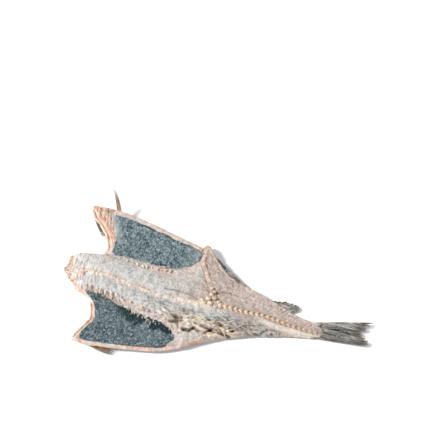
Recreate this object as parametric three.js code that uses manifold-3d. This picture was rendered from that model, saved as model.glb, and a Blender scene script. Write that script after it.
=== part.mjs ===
// Split salt cod: a headless, gutted cod opened flat from the belly, salted and dried stiff.
// It lies on its skin with the flesh side up. Units are millimetres. The nape is at -X and the
// tail at +X, the fish's left side is at +Y, and +Z is up from the surface that it lies on.
import * as THREE from "three";
import { mergeVertices } from "three/addons/utils/BufferGeometryUtils.js";
import Module from "manifold-3d";

// ---------------------------------------------------------------- driving dimensions
const BODY_LENGTH = 600; // from the nape's tip to the root of the tail fin
const TAIL_FIN_LENGTH = 102;
const FLAP_THICKNESS = 5; // belly flap, skin and flesh together
const EDGE_THICKNESS = 1.4; // what is left of the wall at the very rim
const RIM_ROUNDING = 9; // how far in from the rim the section starts to round off
const BACK_GROOVE_DEPTH = 4; // hollow along the back, which the folded dorsal fins fill
const BACK_GROOVE_HALF_WIDTH = 19;
const BONE_RADIUS = 3; // collar bones
const PIECE_GAP = 0.5; // space left between neighbouring pieces
const LENGTH_STEPS = 46; // grid of the body, along and across
const WIDTH_STEPS = 38;

// ---------------------------------------------------------------- helpers
const clamp01 = (v) => Math.min(1, Math.max(0, v));
const smoothstep = (from, to, v) => {
  const k = clamp01((v - from) / (to - from));
  return k * k * (3 - 2 * k);
};
const lerp = (a, b, k) => a + (b - a) * k;

// A smooth function through [x, value] points that never overshoots them: cubic pieces whose
// slope at a point is the harmonic mean of its neighbours' slopes, or 0 where they turn.
function through(points) {
  const steps = points.slice(1).map(([x, v], i) => (v - points[i][1]) / (x - points[i][0]));
  const slopes = points.map((_, i) => {
    if (i === 0) return steps[0];
    if (i === points.length - 1) return steps[i - 1];
    const [a, b] = [steps[i - 1], steps[i]];
    return a * b <= 0 ? 0 : (2 * a * b) / (a + b);
  });
  return (x) => {
    if (x <= points[0][0]) return points[0][1];
    let i = points.findIndex(([px]) => px >= x);
    if (i < 0) return points.at(-1)[1];
    i -= 1;
    const [x0, v0] = points[i];
    const [x1, v1] = points[i + 1];
    const h = x1 - x0;
    const k = (x - x0) / h;
    const bend = k * (1 - k) * ((slopes[i] * (1 - k) - slopes[i + 1] * k) * h);
    return lerp(v0, v1, k * k * (3 - 2 * k)) + bend;
  };
}

// A closed slab between two surfaces (u, v) -> Vector3 over the unit square, with a wall
// round its rim. The top's grid lines and the bottom's grid lines are the same.
function slab(top, bottom, uSteps, vSteps, uAt = (k) => k, vAt = (k) => k) {
  const positions = [];
  const index = [];
  const row = vSteps + 1;
  const layer = (uSteps + 1) * row;
  for (const surface of [top, bottom]) {
    for (let i = 0; i <= uSteps; i++) {
      for (let j = 0; j <= vSteps; j++) {
        positions.push(...surface(uAt(i / uSteps), vAt(j / vSteps)).toArray());
      }
    }
  }
  const at = (side, i, j) => side * layer + i * row + j;
  const quad = (a, b, c, d) => index.push(a, b, c, a, c, d);
  for (let i = 0; i < uSteps; i++) {
    for (let j = 0; j < vSteps; j++) {
      quad(at(0, i, j), at(0, i + 1, j), at(0, i + 1, j + 1), at(0, i, j + 1));
      quad(at(1, i, j), at(1, i, j + 1), at(1, i + 1, j + 1), at(1, i + 1, j));
    }
  }
  for (let i = 0; i < uSteps; i++) {
    quad(at(1, i, 0), at(1, i + 1, 0), at(0, i + 1, 0), at(0, i, 0));
    quad(at(0, i, vSteps), at(0, i + 1, vSteps), at(1, i + 1, vSteps), at(1, i, vSteps));
  }
  for (let j = 0; j < vSteps; j++) {
    quad(at(0, 0, j), at(0, 0, j + 1), at(1, 0, j + 1), at(1, 0, j));
    quad(at(1, uSteps, j), at(1, uSteps, j + 1), at(0, uSteps, j + 1), at(0, uSteps, j));
  }
  const geometry = new THREE.BufferGeometry();
  geometry.setAttribute("position", new THREE.Float32BufferAttribute(positions, 3));
  geometry.setIndex(index);
  return geometry;
}

// A slab of the given thickness about one centre surface.
function plate(centre, thickness, uSteps, vSteps) {
  const offset = (u, v, side) => {
    const step = 1e-3;
    const here = centre(u, v);
    const along = centre(u + step, v).sub(here);
    const across = centre(u, v + step).sub(here);
    const normal = along.cross(across).normalize();
    return here.addScaledVector(normal, (side * thickness(u, v)) / 2);
  };
  return slab((u, v) => offset(u, v, 1), (u, v) => offset(u, v, -1), uSteps, vSteps);
}

const wasm = await Module();
wasm.setup();

function toManifold(geometry) {
  const bare = geometry.clone();
  bare.deleteAttribute("normal");
  bare.deleteAttribute("uv");
  const merged = mergeVertices(bare, 1e-4);
  return new wasm.Manifold(
    new wasm.Mesh({
      numProp: 3,
      vertProperties: new Float32Array(merged.attributes.position.array),
      triVerts: new Uint32Array(merged.index.array),
    }),
  );
}

function toGeometry(manifold) {
  const mesh = manifold.getMesh();
  const geometry = new THREE.BufferGeometry();
  geometry.setAttribute("position", new THREE.BufferAttribute(mesh.vertProperties, 3));
  geometry.setIndex(new THREE.BufferAttribute(mesh.triVerts, 1));
  return geometry;
}

// ---------------------------------------------------------------- plan of the opened fish
// The crease along the middle of the back, and the rims of the left and right halves.
const midline = through([
  [0, -12], [90, -8], [170, -16], [235, -24], [290, -19], [350, -5], [430, -1], [474, 1],
  [520, -2], [575, -3], [600, 1],
]);
const leftRim = through([
  [0, 150], [34, 155], [81, 160], [120, 157], [199, 144], [262, 133], [284, 129], [292, 141],
  [324, 111], [359, 82], [393, 66], [446, 56], [492, 42], [541, 27], [570, 24], [600, 30],
]);
const rightRim = through([
  [60, -176], [110, -177], [160, -170], [210, -160], [252, -150], [290, -136], [312, -124],
  [350, -100], [388, -78], [448, -52], [492, -38], [541, -24], [575, -17], [600, -12],
]);
// Where the flesh starts in X, against the share of the half width: -1 right rim, 1 left rim.
// The nape stands out between the two collar notches, and each wing runs forward to its tip.
const frontEdge = through([
  [-1, 83], [-0.88, 88], [-0.75, 95], [-0.62, 102], [-0.48, 95], [-0.35, 80], [-0.31, 61],
  [-0.27, 41], [-0.17, 22], [-0.06, 4], [0, 0], [0.1, 0], [0.2, 3], [0.26, 10], [0.3, 30],
  [0.33, 62], [0.38, 72], [0.44, 75], [0.5, 72], [0.64, 61], [0.755, 43], [0.86, 21], [1, 5],
]);
const rimAt = (x, side) => (side < 0 ? rightRim(x) : leftRim(x));
const shareAt = (x, y) => {
  const reach = y - midline(x);
  return reach / Math.abs(rimAt(x, reach) - midline(x));
};

// ---------------------------------------------------------------- heights
const leftLift = through([
  [0, 38], [40, 34], [81, 27], [120, 23], [199, 17], [285, 11], [350, 6], [430, 2], [480, 0],
]);
const rightLift = through([
  [60, 12], [120, 11], [210, 9], [300, 7], [350, 4], [430, 1], [480, 0],
]);
const tailLift = through([[540, 0], [600, 3], [702, 9]]);
const loinThickness = through([
  [0, 16], [40, 22], [120, 25], [300, 22], [400, 20], [500, 15], [560, 11], [600, 7],
]);
// How far from the midline the thick loin gives way to the thin belly flap.
const leftLoinReach = through([[60, 62], [82, 64], [180, 76], [254, 89], [288, 113], [300, 170]]);
const rightLoinReach = through([
  [80, 59], [127, 51], [167, 58], [221, 66], [280, 76], [304, 93], [316, 140],
]);

const liftAt = (x, share) => {
  const flap = share < 0 ? rightLift(x) : leftLift(x);
  return flap * clamp01((Math.abs(share) - 0.38) / 0.62) ** 1.5 + tailLift(x);
};

function thicknessAt(x, share) {
  const side = Math.sign(share) || 1;
  const halfWidth = Math.abs(rimAt(x, side) - midline(x));
  const reach = Math.abs(share) * halfWidth;
  const loin = side < 0 ? rightLoinReach(x) : leftLoinReach(x);
  const loinShare = reach / Math.min(loin, 1.15 * halfWidth);
  const valley = 0.84 + 0.16 * smoothstep(0, 0.3, loinShare);
  const shoulder = 1 - 0.45 * smoothstep(0.45, 1, loinShare);
  const full = loinThickness(x) * valley * shoulder;
  return lerp(full, FLAP_THICKNESS, smoothstep(0.84, 1.02, loinShare));
}

// Distance in from the nearest rim, with the front edge's slant taken into account.
function insetAt(x, share) {
  const side = Math.sign(share) || 1;
  const halfWidth = Math.abs(rimAt(x, side) - midline(x));
  const step = 0.01;
  const slant = (frontEdge(share + step) - frontEdge(share - step)) / (2 * step * halfWidth);
  const fromFront = (x - frontEdge(share)) / Math.hypot(1, slant);
  const fromRim = (1 - Math.abs(share)) * halfWidth;
  return Math.min(fromFront, fromRim, BODY_LENGTH - x + 2);
}

const roundingAt = (x, share) => {
  const k = clamp01(insetAt(x, share) / RIM_ROUNDING);
  return Math.sqrt(1 - (1 - k) ** 2);
};

function bottomAt(x, share) {
  const side = Math.sign(share) || 1;
  const reach = Math.abs(share * (rimAt(x, side) - midline(x)));
  const groove = BACK_GROOVE_DEPTH
    * (1 - smoothstep(0.72, 1.15, reach / BACK_GROOVE_HALF_WIDTH))
    * (1 - smoothstep(530, 570, x));
  const tucked = 0.42 * thicknessAt(x, share) * (1 - roundingAt(x, share));
  return liftAt(x, share) + groove + tucked;
}

function topAt(x, share) {
  const thickness = thicknessAt(x, share);
  const full = liftAt(x, share) + thickness;
  const rim = bottomAt(x, share) + EDGE_THICKNESS;
  return Math.max(rim, full - 0.58 * thickness * (1 - roundingAt(x, share)));
}

// A point of the plan at a share of the length and of the half width.
function planPoint(along, share) {
  const front = frontEdge(share);
  const x = front + (BODY_LENGTH - front) * along;
  const y = midline(x) + Math.abs(share) * (rimAt(x, share) - midline(x));
  return [x, y];
}

// ---------------------------------------------------------------- fish body
// Grid lines are closer together near the rims, where the section rounds off.
const crowdedEnds = (k) => lerp(k, (1 - Math.cos(Math.PI * k)) / 2, 0.55);
const bodySurface = (height) => (u, v) => {
  const share = 2 * v - 1;
  const [x, y] = planPoint(u, share);
  return new THREE.Vector3(x, y, height(x, share));
};

// The tail half of the backbone, which the splitting knife leaves in: a row of vertebrae,
// each one pinched in its middle, turned about their common line.
const BACKBONE_START = 345;
const BACKBONE_END = 586;
const VERTEBRAE = 20;
const backboneRadius = through([[345, 6.5], [450, 5.6], [540, 4.2], [586, 3]]);
const backboneHeight = (x) => topAt(x, 0) + 0.2;

function latheAlongBack(radiusAt, steps, segments, extra) {
  const profile = [new THREE.Vector2(0, BACKBONE_START - extra)];
  for (let i = 0; i <= steps; i++) {
    const x = lerp(BACKBONE_START - extra, BACKBONE_END + extra, i / steps);
    profile.push(new THREE.Vector2(radiusAt(x, i), x));
  }
  profile.push(new THREE.Vector2(0, BACKBONE_END + extra));
  const geometry = new THREE.LatheGeometry(profile, segments);
  const position = geometry.attributes.position;
  for (let i = 0; i < position.count; i++) {
    const [across, x, up] = [position.getX(i), position.getY(i), position.getZ(i)];
    position.setXYZ(i, x, midline(x) + up, backboneHeight(x) + across);
  }
  return geometry;
}

const backboneGeometry = latheAlongBack(
  (x, i) => backboneRadius(x) * (i % 2 ? 0.82 : 1), 2 * VERTEBRAE, 10, 0,
);
const backboneBed = latheAlongBack((x) => backboneRadius(x) + 0.9, 30, 12, 1);

const bodyGeometry = toGeometry(
  toManifold(
    slab(bodySurface(topAt), bodySurface(bottomAt), LENGTH_STEPS, WIDTH_STEPS, crowdedEnds, crowdedEnds),
  ).subtract(toManifold(backboneBed)),
);

// ---------------------------------------------------------------- belly linings
// The dark membrane of the belly cavity, a thin sheet left lying on the inside of each flap.
// The left one starts well behind the wing's tip, and the right one close behind its edge.
const leftLiningFront = through([
  [0.3, 94], [0.5, 90], [0.62, 86], [0.75, 76], [0.9, 62], [1, 58],
]);
const rightLiningFront = (share) => frontEdge(share) + RIM_ROUNDING + 3;

function liningGeometry(side, xStart, xEnd) {
  const loin = side < 0 ? rightLoinReach : leftLoinReach;
  const thickness = 1;
  const place = (u, v, raise) => {
    const x = lerp(xStart, xEnd, u);
    const halfWidth = Math.abs(rimAt(x, side) - midline(x));
    const inner = Math.min((1.14 * loin(x)) / halfWidth, 0.8);
    const share = side * lerp(inner, 0.9, v);
    const front = side < 0 ? rightLiningFront(share) : leftLiningFront(share);
    const shiftedX = front + ((x - xStart) * (xEnd - front)) / (xEnd - xStart);
    const y = midline(shiftedX) + Math.abs(share) * (rimAt(shiftedX, side) - midline(shiftedX));
    return new THREE.Vector3(shiftedX, y, topAt(shiftedX, share) + PIECE_GAP + raise);
  };
  const [above, below] = [(u, v) => place(u, v, thickness), (u, v) => place(u, v, 0)];
  return side > 0
    ? slab(above, below, 16, 8)
    : slab((u, v) => above(u, 1 - v), (u, v) => below(u, 1 - v), 16, 8);
}

// ---------------------------------------------------------------- collar bones
// A bone lies along the hollow front edge of each wing, from the notch to the wing's tip.
function collarBoneGeometry(side, fromShare, toShare) {
  const points = [];
  for (let i = 0; i <= 8; i++) {
    const share = side * lerp(fromShare, toShare, i / 8);
    const [x, y] = planPoint(0, share);
    const [nextX, nextY] = planPoint(0, share + side * 0.01);
    const outward = new THREE.Vector2(-(nextY - y) * side, (nextX - x) * side).normalize();
    const clear = BONE_RADIUS + PIECE_GAP + 0.7;
    const z = (topAt(x, share) + bottomAt(x, share)) / 2;
    points.push(new THREE.Vector3(x + outward.x * clear, y + outward.y * clear, z));
  }
  const section = new THREE.Shape();
  section.absellipse(0, 0, BONE_RADIUS * 0.8, BONE_RADIUS, 0, 2 * Math.PI);
  return new THREE.ExtrudeGeometry(section, {
    extrudePath: new THREE.CatmullRomCurve3(points),
    steps: 24,
    curveSegments: 5,
  });
}

// ---------------------------------------------------------------- fins
// A fin is a thin plate: v runs along its root, u from the root out to the tips of its rays.
function finGeometry({ root, tip, rootThickness, tipThickness, arch = 0, uSteps = 6, vSteps = 8 }) {
  const centre = (u, v) => {
    const point = root(v).lerp(tip(v), u);
    point.z += arch * u * (1 - u) * 4;
    return point;
  };
  return plate(centre, (u) => lerp(rootThickness, tipThickness, u), uSteps, vSteps);
}

const TAIL_ROOT = BODY_LENGTH + PIECE_GAP;
const tailTipReach = through([[0, 0], [0.25, -8], [0.5, -17], [0.75, -9], [1, -1]]);
const tailFin = {
  root: (v) => new THREE.Vector3(TAIL_ROOT, lerp(30, -12, v), tailLift(TAIL_ROOT) + 3),
  tip: (v) => new THREE.Vector3(
    BODY_LENGTH + TAIL_FIN_LENGTH + tailTipReach(v),
    lerp(59, -1, v),
    tailLift(BODY_LENGTH + TAIL_FIN_LENGTH) + 3,
  ),
  rootThickness: 4.5,
  tipThickness: 1.2,
  vSteps: 12,
};

// An anal fin stands out from the left rim, behind the vent, and its rays lean to the tail. Its
// height follows a sine from tailEnd of the way, so that a larger tailEnd leaves it blunter there.
function analFin({ xStart, xEnd, height, lean, tailEnd }) {
  const edge = (x) => {
    const share = 1;
    return new THREE.Vector3(x, leftRim(x) + PIECE_GAP + 0.5, bottomAt(x, share) + 0.8);
  };
  return {
    root: (v) => edge(lerp(xEnd, xStart, v)),
    tip: (v) => {
      const x = lerp(xEnd, xStart, v);
      const rise = height * Math.sin(Math.PI * lerp(tailEnd, 0.96, v)) ** 0.7;
      return edge(x).add(new THREE.Vector3(lean * rise, rise, 0.22 * rise));
    },
    rootThickness: 2,
    tipThickness: 1,
  };
}

const firstAnalFin = analFin({ xStart: 320, xEnd: 406, height: 13, lean: 0.6, tailEnd: 0.08 });
const secondAnalFin = analFin({ xStart: 474, xEnd: 520, height: 15, lean: 1.5, tailEnd: 0.2 });

// A dorsal fin is folded flat in the hollow of the back, its rays laid towards the tail.
function dorsalFinGeometry(xStart, xEnd) {
  const outline = (v, edge) => {
    const x = lerp(xStart, xEnd, v);
    const halfWidth = 0.62 * BACK_GROOVE_HALF_WIDTH * Math.sin(Math.PI * lerp(0.12, 0.93, v)) ** 0.6;
    return new THREE.Vector3(x, midline(x) + edge * halfWidth, 1.7);
  };
  const centre = (u, v) => outline(u, lerp(-1, 1, v));
  return plate(centre, () => 1.6, 14, 4);
}

// A pectoral or pelvic fin is rooted on the skin under a wing and runs out past its rim. Its
// middle line is a curve through route's points, and it widens from its root to its tips.
function blade({ route, across, rootWidth, tipWidth, rootThickness }) {
  const line = new THREE.QuadraticBezierCurve3(...route);
  const centre = (u, v) => {
    const width = lerp(rootWidth, tipWidth, u);
    return line.getPoint(clamp01(u)).addScaledVector(across, (0.5 - v) * width);
  };
  return plate(centre, (u) => lerp(rootThickness, 1, u), 8, 3);
}

// A point under the skin side, inset from the rim in Y and dropped clear of the skin.
function underSkin(x, side, inset, drop) {
  const y = rimAt(x, side) - side * inset;
  return new THREE.Vector3(x, y, bottomAt(x, shareAt(x, y)) - drop);
}

const beyondRim = (x, side, outward, rise) => new THREE.Vector3(
  x, rimAt(x, side) + side * outward, bottomAt(x, side) + rise,
);

// The left pectoral fin has dried standing up past the raised rim of its wing.
const leftPectoral = {
  route: [underSkin(70, 1, 13, 5), beyondRim(64, 1, 14, -4), beyondRim(40, 1, 41, 25)],
  across: new THREE.Vector3(1, 0, 0),
  rootWidth: 13,
  tipWidth: 7,
  rootThickness: 3,
};
// The right one lies back along its rim, close to the surface.
const rightPectoral = {
  route: [underSkin(112, -1, 15, 4), beyondRim(140, -1, 4, -5), beyondRim(186, -1, 9, -5)],
  across: new THREE.Vector3(0.3, 0.95, 0),
  rootWidth: 11,
  tipWidth: 15,
  rootThickness: 2.4,
};
// The left pelvic fin runs out from under its wing, along the front of the collar bone.
const leftPelvic = {
  route: [
    new THREE.Vector3(50, 98, 5), new THREE.Vector3(32, 111, 14), new THREE.Vector3(8, 142, 25),
  ],
  across: new THREE.Vector3(0.74, 0.67, 0),
  rootWidth: 8,
  tipWidth: 5,
  rootThickness: 2,
};
// The right one is pressed flat under its wing.
const rightPelvic = {
  route: [
    underSkin(104, -1, 34, 4), new THREE.Vector3(124, -142, 3), new THREE.Vector3(152, -147, 3),
  ],
  across: new THREE.Vector3(0.2, 0.97, 0),
  rootWidth: 8,
  tipWidth: 9,
  rootThickness: 2,
};

// ---------------------------------------------------------------- assembly
const finish = (color, roughness) => new THREE.MeshStandardMaterial({ color, roughness, metalness: 0 });
const flesh = finish(0xc9bfb2, 0.85);
const bone = finish(0xe2cfa6, 0.6);
const membrane = finish(0x4c6069, 0.6);
const collar = finish(0xe0b79c, 0.55);
const finRays = finish(0x77705f, 0.7);

const fish = new THREE.Group();
fish.name = "split_salt_cod";

function add(name, geometry, material) {
  const mesh = new THREE.Mesh(geometry, material);
  mesh.name = name;
  fish.add(mesh);
}

add("fish_body", bodyGeometry, flesh);
add("tail_backbone", backboneGeometry, bone);
add("belly_lining_left", liningGeometry(1, 84, 276), membrane);
add("belly_lining_right", liningGeometry(-1, 104, 284), membrane);
add("collar_bone_left", collarBoneGeometry(1, 0.38, 0.95), collar);
add("collar_bone_right", collarBoneGeometry(-1, 0.4, 0.95), collar);
add("tail_fin", finGeometry(tailFin), finRays);
add("first_anal_fin", finGeometry(firstAnalFin), finRays);
add("second_anal_fin", finGeometry(secondAnalFin), finRays);
add("first_dorsal_fin", dorsalFinGeometry(48, 165), finRays);
add("second_dorsal_fin", dorsalFinGeometry(188, 358), finRays);
add("third_dorsal_fin", dorsalFinGeometry(382, 522), finRays);
add("pectoral_fin_left", blade(leftPectoral), finRays);
add("pectoral_fin_right", blade(rightPectoral), finRays);
add("pelvic_fin_left", blade(leftPelvic), finRays);
add("pelvic_fin_right", blade(rightPelvic), finRays);

// The origin is the middle of the whole fish's box, on the surface that it lies on.
const box = new THREE.Box3().setFromObject(fish);
const centre = box.getCenter(new THREE.Vector3());
fish.position.set(-centre.x, -centre.y, -box.min.z);

export default fish;
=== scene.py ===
# %% [markdown]
# # A split salt cod
# A cod for salting loses its head and guts, is opened from the belly down to its back, and has the
# front of its backbone cut out. It then lies flat like a kite: two thick loins beside the crease of
# the back, two thin belly flaps outside them, and a narrow tail that keeps its bones. Salt and dry
# air make it as stiff as a board. A packed collision model already holds every size and place, so
# this lesson reads it first and works out a detailed surface for each of its parts.

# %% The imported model
from math import radians
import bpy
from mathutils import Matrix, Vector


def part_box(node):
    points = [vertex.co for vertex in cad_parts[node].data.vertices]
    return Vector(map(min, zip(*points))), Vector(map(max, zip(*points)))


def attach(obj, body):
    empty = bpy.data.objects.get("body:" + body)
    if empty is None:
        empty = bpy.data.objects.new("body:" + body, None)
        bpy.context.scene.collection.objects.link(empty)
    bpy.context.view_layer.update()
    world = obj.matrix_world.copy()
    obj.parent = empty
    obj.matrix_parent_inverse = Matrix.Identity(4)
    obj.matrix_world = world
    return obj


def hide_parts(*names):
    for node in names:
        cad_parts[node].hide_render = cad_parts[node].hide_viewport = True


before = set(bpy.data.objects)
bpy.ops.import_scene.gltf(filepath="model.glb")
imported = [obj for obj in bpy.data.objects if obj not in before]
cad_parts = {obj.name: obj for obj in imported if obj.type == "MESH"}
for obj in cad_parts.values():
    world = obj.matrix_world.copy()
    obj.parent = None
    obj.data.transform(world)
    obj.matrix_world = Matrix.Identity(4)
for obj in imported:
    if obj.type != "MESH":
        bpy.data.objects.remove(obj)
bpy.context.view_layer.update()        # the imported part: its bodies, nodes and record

from types import SimpleNamespace

import bpy
import numpy as np
from mathutils import Vector

# %% [markdown]
# ## Millimetres from the nape
# A fish is easier to draw in millimetres from the tip of its nape, where the head was, than in
# metres from the middle of its box. One shift joins the two. X runs to the tail, Y to the fish's
# left side and Z up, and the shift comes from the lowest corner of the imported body.

# %% From the drawing to the frame
MM = 0.001
RIGHT_RIM_REACH = 177.0  # how far the widest point of the right rim lies from the drawing's Y zero
body_low = np.array(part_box("fish_body")[0])
drawing_origin = np.array([body_low[0], body_low[1] + RIGHT_RIM_REACH * MM, 0.0])


def place(points):
    """Drawing millimetres to metres in the frame: times MM, plus the drawing's origin."""
    return np.asarray(points, float) * MM + drawing_origin


print("drawing origin, in metres:", drawing_origin.round(4))

# %% [markdown]
# ## Curves and random patches
# Two small tools shape everything. One is a smooth curve through a few knots, as a draughtsman
# bends a spline through pins. The other is a field of soft random patches, for whatever nature
# left uneven. Its numbers come from a fixed seed, so the same fish is made every time.

# %% Smooth steps and curves
def soft_step(start, end, value):
    """0 before start, 1 after end, and k * k * (3 - 2 * k) between them."""
    k = np.clip((value - start) / (end - start), 0.0, 1.0)
    return k * k * (3.0 - 2.0 * k)


def blend(a, b, k):
    """a where k is 0 and b where k is 1."""
    return a + (b - a) * k


def hump(distance, width):
    """A bell of height 1 that has sunk to 0.37 at width: e to the minus (distance / width) squared."""
    return np.exp(-((distance / width) ** 2))


def through(*knots):
    """A curve through (x, value) knots. Between two knots it is a cubic whose slope at each knot is
    the harmonic mean of the straight slopes on both sides, or 0 at a turn, so it never overshoots."""
    x, value = np.array(knots, float).T
    rise = np.diff(value) / np.diff(x)
    product = rise[:-1] * rise[1:]
    total = np.where(product > 0, rise[:-1] + rise[1:], 1.0)
    slope = np.concatenate([rise[:1], np.where(product > 0, 2 * product / total, 0.0), rise[-1:]])

    def curve(at):
        """The value at any x, held at the end values outside the knots."""
        at = np.clip(at, x[0], x[-1])
        i = np.clip(np.searchsorted(x, at) - 1, 0, len(x) - 2)
        span = x[i + 1] - x[i]
        k = (at - x[i]) / span
        bend = k * (1 - k) * (slope[i] * (1 - k) - slope[i + 1] * k) * span
        return blend(value[i], value[i + 1], k * k * (3 - 2 * k)) + bend

    return curve


# %% Random patches
NET_SIDE = 64  # the random net repeats after this many squares


def patches(x, y, size, seed):
    """Soft patches from -1 to 1: the corners of a net of squares, size wide, hold random numbers,
    and a point blends the four corners round it, each way by k * k * (3 - 2 * k)."""
    net = np.random.RandomState(seed).uniform(-1, 1, (NET_SIDE, NET_SIDE))
    u, v = x / size + 0.37 * seed, y / size + 0.61 * seed
    i, j = np.floor(u).astype(int), np.floor(v).astype(int)
    p, q = soft_step(0, 1, u - i), soft_step(0, 1, v - j)
    i, j, i_next, j_next = i % NET_SIDE, j % NET_SIDE, (i + 1) % NET_SIDE, (j + 1) % NET_SIDE
    near = blend(net[i, j], net[i_next, j], p)
    far = blend(net[i, j_next], net[i_next, j_next], p)
    return blend(near, far, q)


def patch_line(x, size, seed):
    """Patches along a line: the same net, read along one of its rows."""
    return patches(x, x * 0, size, seed)


def cloudy(x, y, size, seed, layers=3):
    """Patches on patches: each layer has half the size and half the height of the one before, and
    is turned by one radian so that their nets never line up."""
    total, height = 0.0, 1.0
    for layer in range(layers):
        total = total + height * patches(x, y, size * height, seed + layer)
        x, y = x * np.cos(1) - y * np.sin(1), x * np.sin(1) + y * np.cos(1)
        height = height / 2
    return total


def spots(x, y, size, seed, low, high):
    """Patches turned into spots: 0 where a patch is below low, 1 where it is above high."""
    return soft_step(low, high, patches(x, y, size, seed))


sample = np.arange(600.0)
sample_patches = patch_line(sample, 9, 3)
print("patches along 600 mm, lowest and highest:", sample_patches.min().round(2),
      sample_patches.max().round(2))

# %% [markdown]
# ## The plan of the opened fish
# Seen from above, an opened cod has four borders: the left rim and the right rim where the belly
# was slit, the jagged front where the head came off, and the root of the tail. A point of the plan
# is a share of the half width, from -1 at the right rim to 1 at the left one, and a share of the
# length. So the lines of the grid follow the real edges, and a torn edge is only a ragged border.

# %% Borders
BODY_LENGTH = 600.0
WING_HALF_WIDTH = 168.0
TAIL_HALF_WIDTH = 30.0

crease = through(
    (0, -12), (90, -8), (170, -16), (235, -24), (290, -19), (350, -5), (430, -1), (474, 1),
    (520, -2), (575, -3), (600, 1),
)
left_border = through(
    (0, 150), (34, 155), (81, 160), (120, 157), (199, 144), (262, 133), (284, 129), (292, 141),
    (324, 111), (359, 82), (393, 66), (446, 56), (492, 42), (541, 27), (570, 24), (600, 30),
)
right_border = through(
    (60, -176), (110, -177), (160, -170), (210, -160), (252, -150), (290, -136), (312, -124),
    (350, -100), (388, -78), (448, -52), (492, -38), (541, -24), (575, -17), (600, -12),
)
clean_front = through(
    (-1, 83), (-0.88, 88), (-0.75, 95), (-0.62, 102), (-0.48, 95), (-0.35, 80), (-0.31, 61),
    (-0.27, 41), (-0.17, 22), (-0.06, 4), (0, 0), (0.1, 0), (0.2, 3), (0.26, 10), (0.3, 30),
    (0.33, 62), (0.38, 72), (0.44, 75), (0.5, 72), (0.64, 61), (0.755, 43), (0.86, 21), (1, 5),
)


def rim(x, share):
    """Y of the rim on the side of share: the smooth border, with small nicks of up to 1 mm."""
    nicks = 0.7 * patch_line(x, 9, 3) + 0.4 * patch_line(x, 4, 4)
    return np.where(share < 0, right_border(x) - nicks, left_border(x) + nicks)


def front(share):
    """X where the flesh begins: the smooth front plus a torn fringe, deep at the nape alone."""
    across = WING_HALF_WIDTH * share
    nape = soft_step(-0.36, -0.27, share) * (1 - soft_step(0.24, 0.31, share))
    torn = 3.6 * patch_line(across, 8, 5) + 2.4 * patch_line(across, 3.5, 6)
    return clean_front(share) + torn * blend(0.22, 1.0, nape)


def rear(share):
    """X where the flesh ends on the tail's rays: later in the middle, in a torn line."""
    across = TAIL_HALF_WIDTH * share
    return BODY_LENGTH - 13.0 * share**2 + 5.0 * patch_line(across, 7, 7) - 4.0


def half_width(x, share):
    """Distance in Y from the crease to the rim, on the side of share."""
    return np.abs(rim(x, share) - crease(x))


def plan_point(along, share):
    """X and Y at a share of the length, between the front and the tail's root, and of the width."""
    x = blend(front(share), rear(share), along)
    return x, crease(x) + share * half_width(x, share)


print("widest over both wings, in mm:", (left_border(sample) - right_border(sample)).max().round(1))

# %% [markdown]
# ## The cross section
# Across the fish, the crease lies low between two rounded loins, each about 25 mm thick, which
# step down to belly flaps of 5 mm. The wings curl up towards the nape, as they dried that way.
# All of this is a sum of simple steps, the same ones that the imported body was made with, so the
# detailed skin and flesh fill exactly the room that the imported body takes.

# %% Thickness and height
FLAP_THICKNESS = 5.0
EDGE_THICKNESS = 1.4
RIM_ROUNDING = 9.0
BACK_GROOVE_DEPTH = 4.0
BACK_GROOVE_HALF_WIDTH = 19.0

left_lift = through(
    (0, 38), (40, 34), (81, 27), (120, 23), (199, 17), (285, 11), (350, 6), (430, 2), (480, 0),
)
right_lift = through((60, 12), (120, 11), (210, 9), (300, 7), (350, 4), (430, 1), (480, 0))
tail_lift = through((540, 0), (600, 3), (702, 9))
loin_thickness = through(
    (0, 16), (40, 22), (120, 25), (300, 22), (400, 20), (500, 15), (560, 11), (600, 7),
)
left_loin = through((60, 62), (82, 64), (180, 76), (254, 89), (288, 113), (300, 170))
right_loin = through(
    (80, 59), (127, 51), (167, 58), (221, 66), (280, 76), (304, 93), (316, 140),
)


def loin_share(x, share):
    """Distance from the crease in widths of the loin: 0 at the crease, 1 where the flap begins."""
    width = half_width(x, share)
    loin = np.where(share < 0, right_loin(x), left_loin(x))
    return np.abs(share) * width / np.minimum(loin, 1.15 * width)


def lift(x, share):
    """Height of the skin above the table: the flaps rise as the 1.5th power of the outer share."""
    flap = np.where(share < 0, right_lift(x), left_lift(x))
    return flap * np.clip((np.abs(share) - 0.38) / 0.62, 0, 1) ** 1.5 + tail_lift(x)


def thickness(x, share):
    """Skin to flesh: the loin's thickness, less at the crease and shoulder, down to the flap's."""
    out = loin_share(x, share)
    loin = loin_thickness(x) * (0.84 + 0.16 * soft_step(0, 0.3, out))
    loin = loin * (1 - 0.45 * soft_step(0.45, 1, out))
    return blend(loin, FLAP_THICKNESS, soft_step(0.9, 0.99, out))


def inset(x, share):
    """Distance in from the nearest border, with the slant of the front edge allowed for."""
    nudge = 0.01
    slant = (clean_front(share + nudge) - clean_front(share - nudge)) / (2 * nudge)
    from_front = (x - front(share)) / np.hypot(1, slant / half_width(x, share))
    from_rim = (1 - np.abs(share)) * half_width(x, share)
    return np.minimum(np.minimum(from_front, from_rim), rear(share) - x + 2)


def rounding(x, share):
    """A quarter circle from 0 at a border to 1 at RIM_ROUNDING inside it."""
    k = np.clip(inset(x, share) / RIM_ROUNDING, 0, 1)
    return np.sqrt(1 - (1 - k) ** 2)


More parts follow.
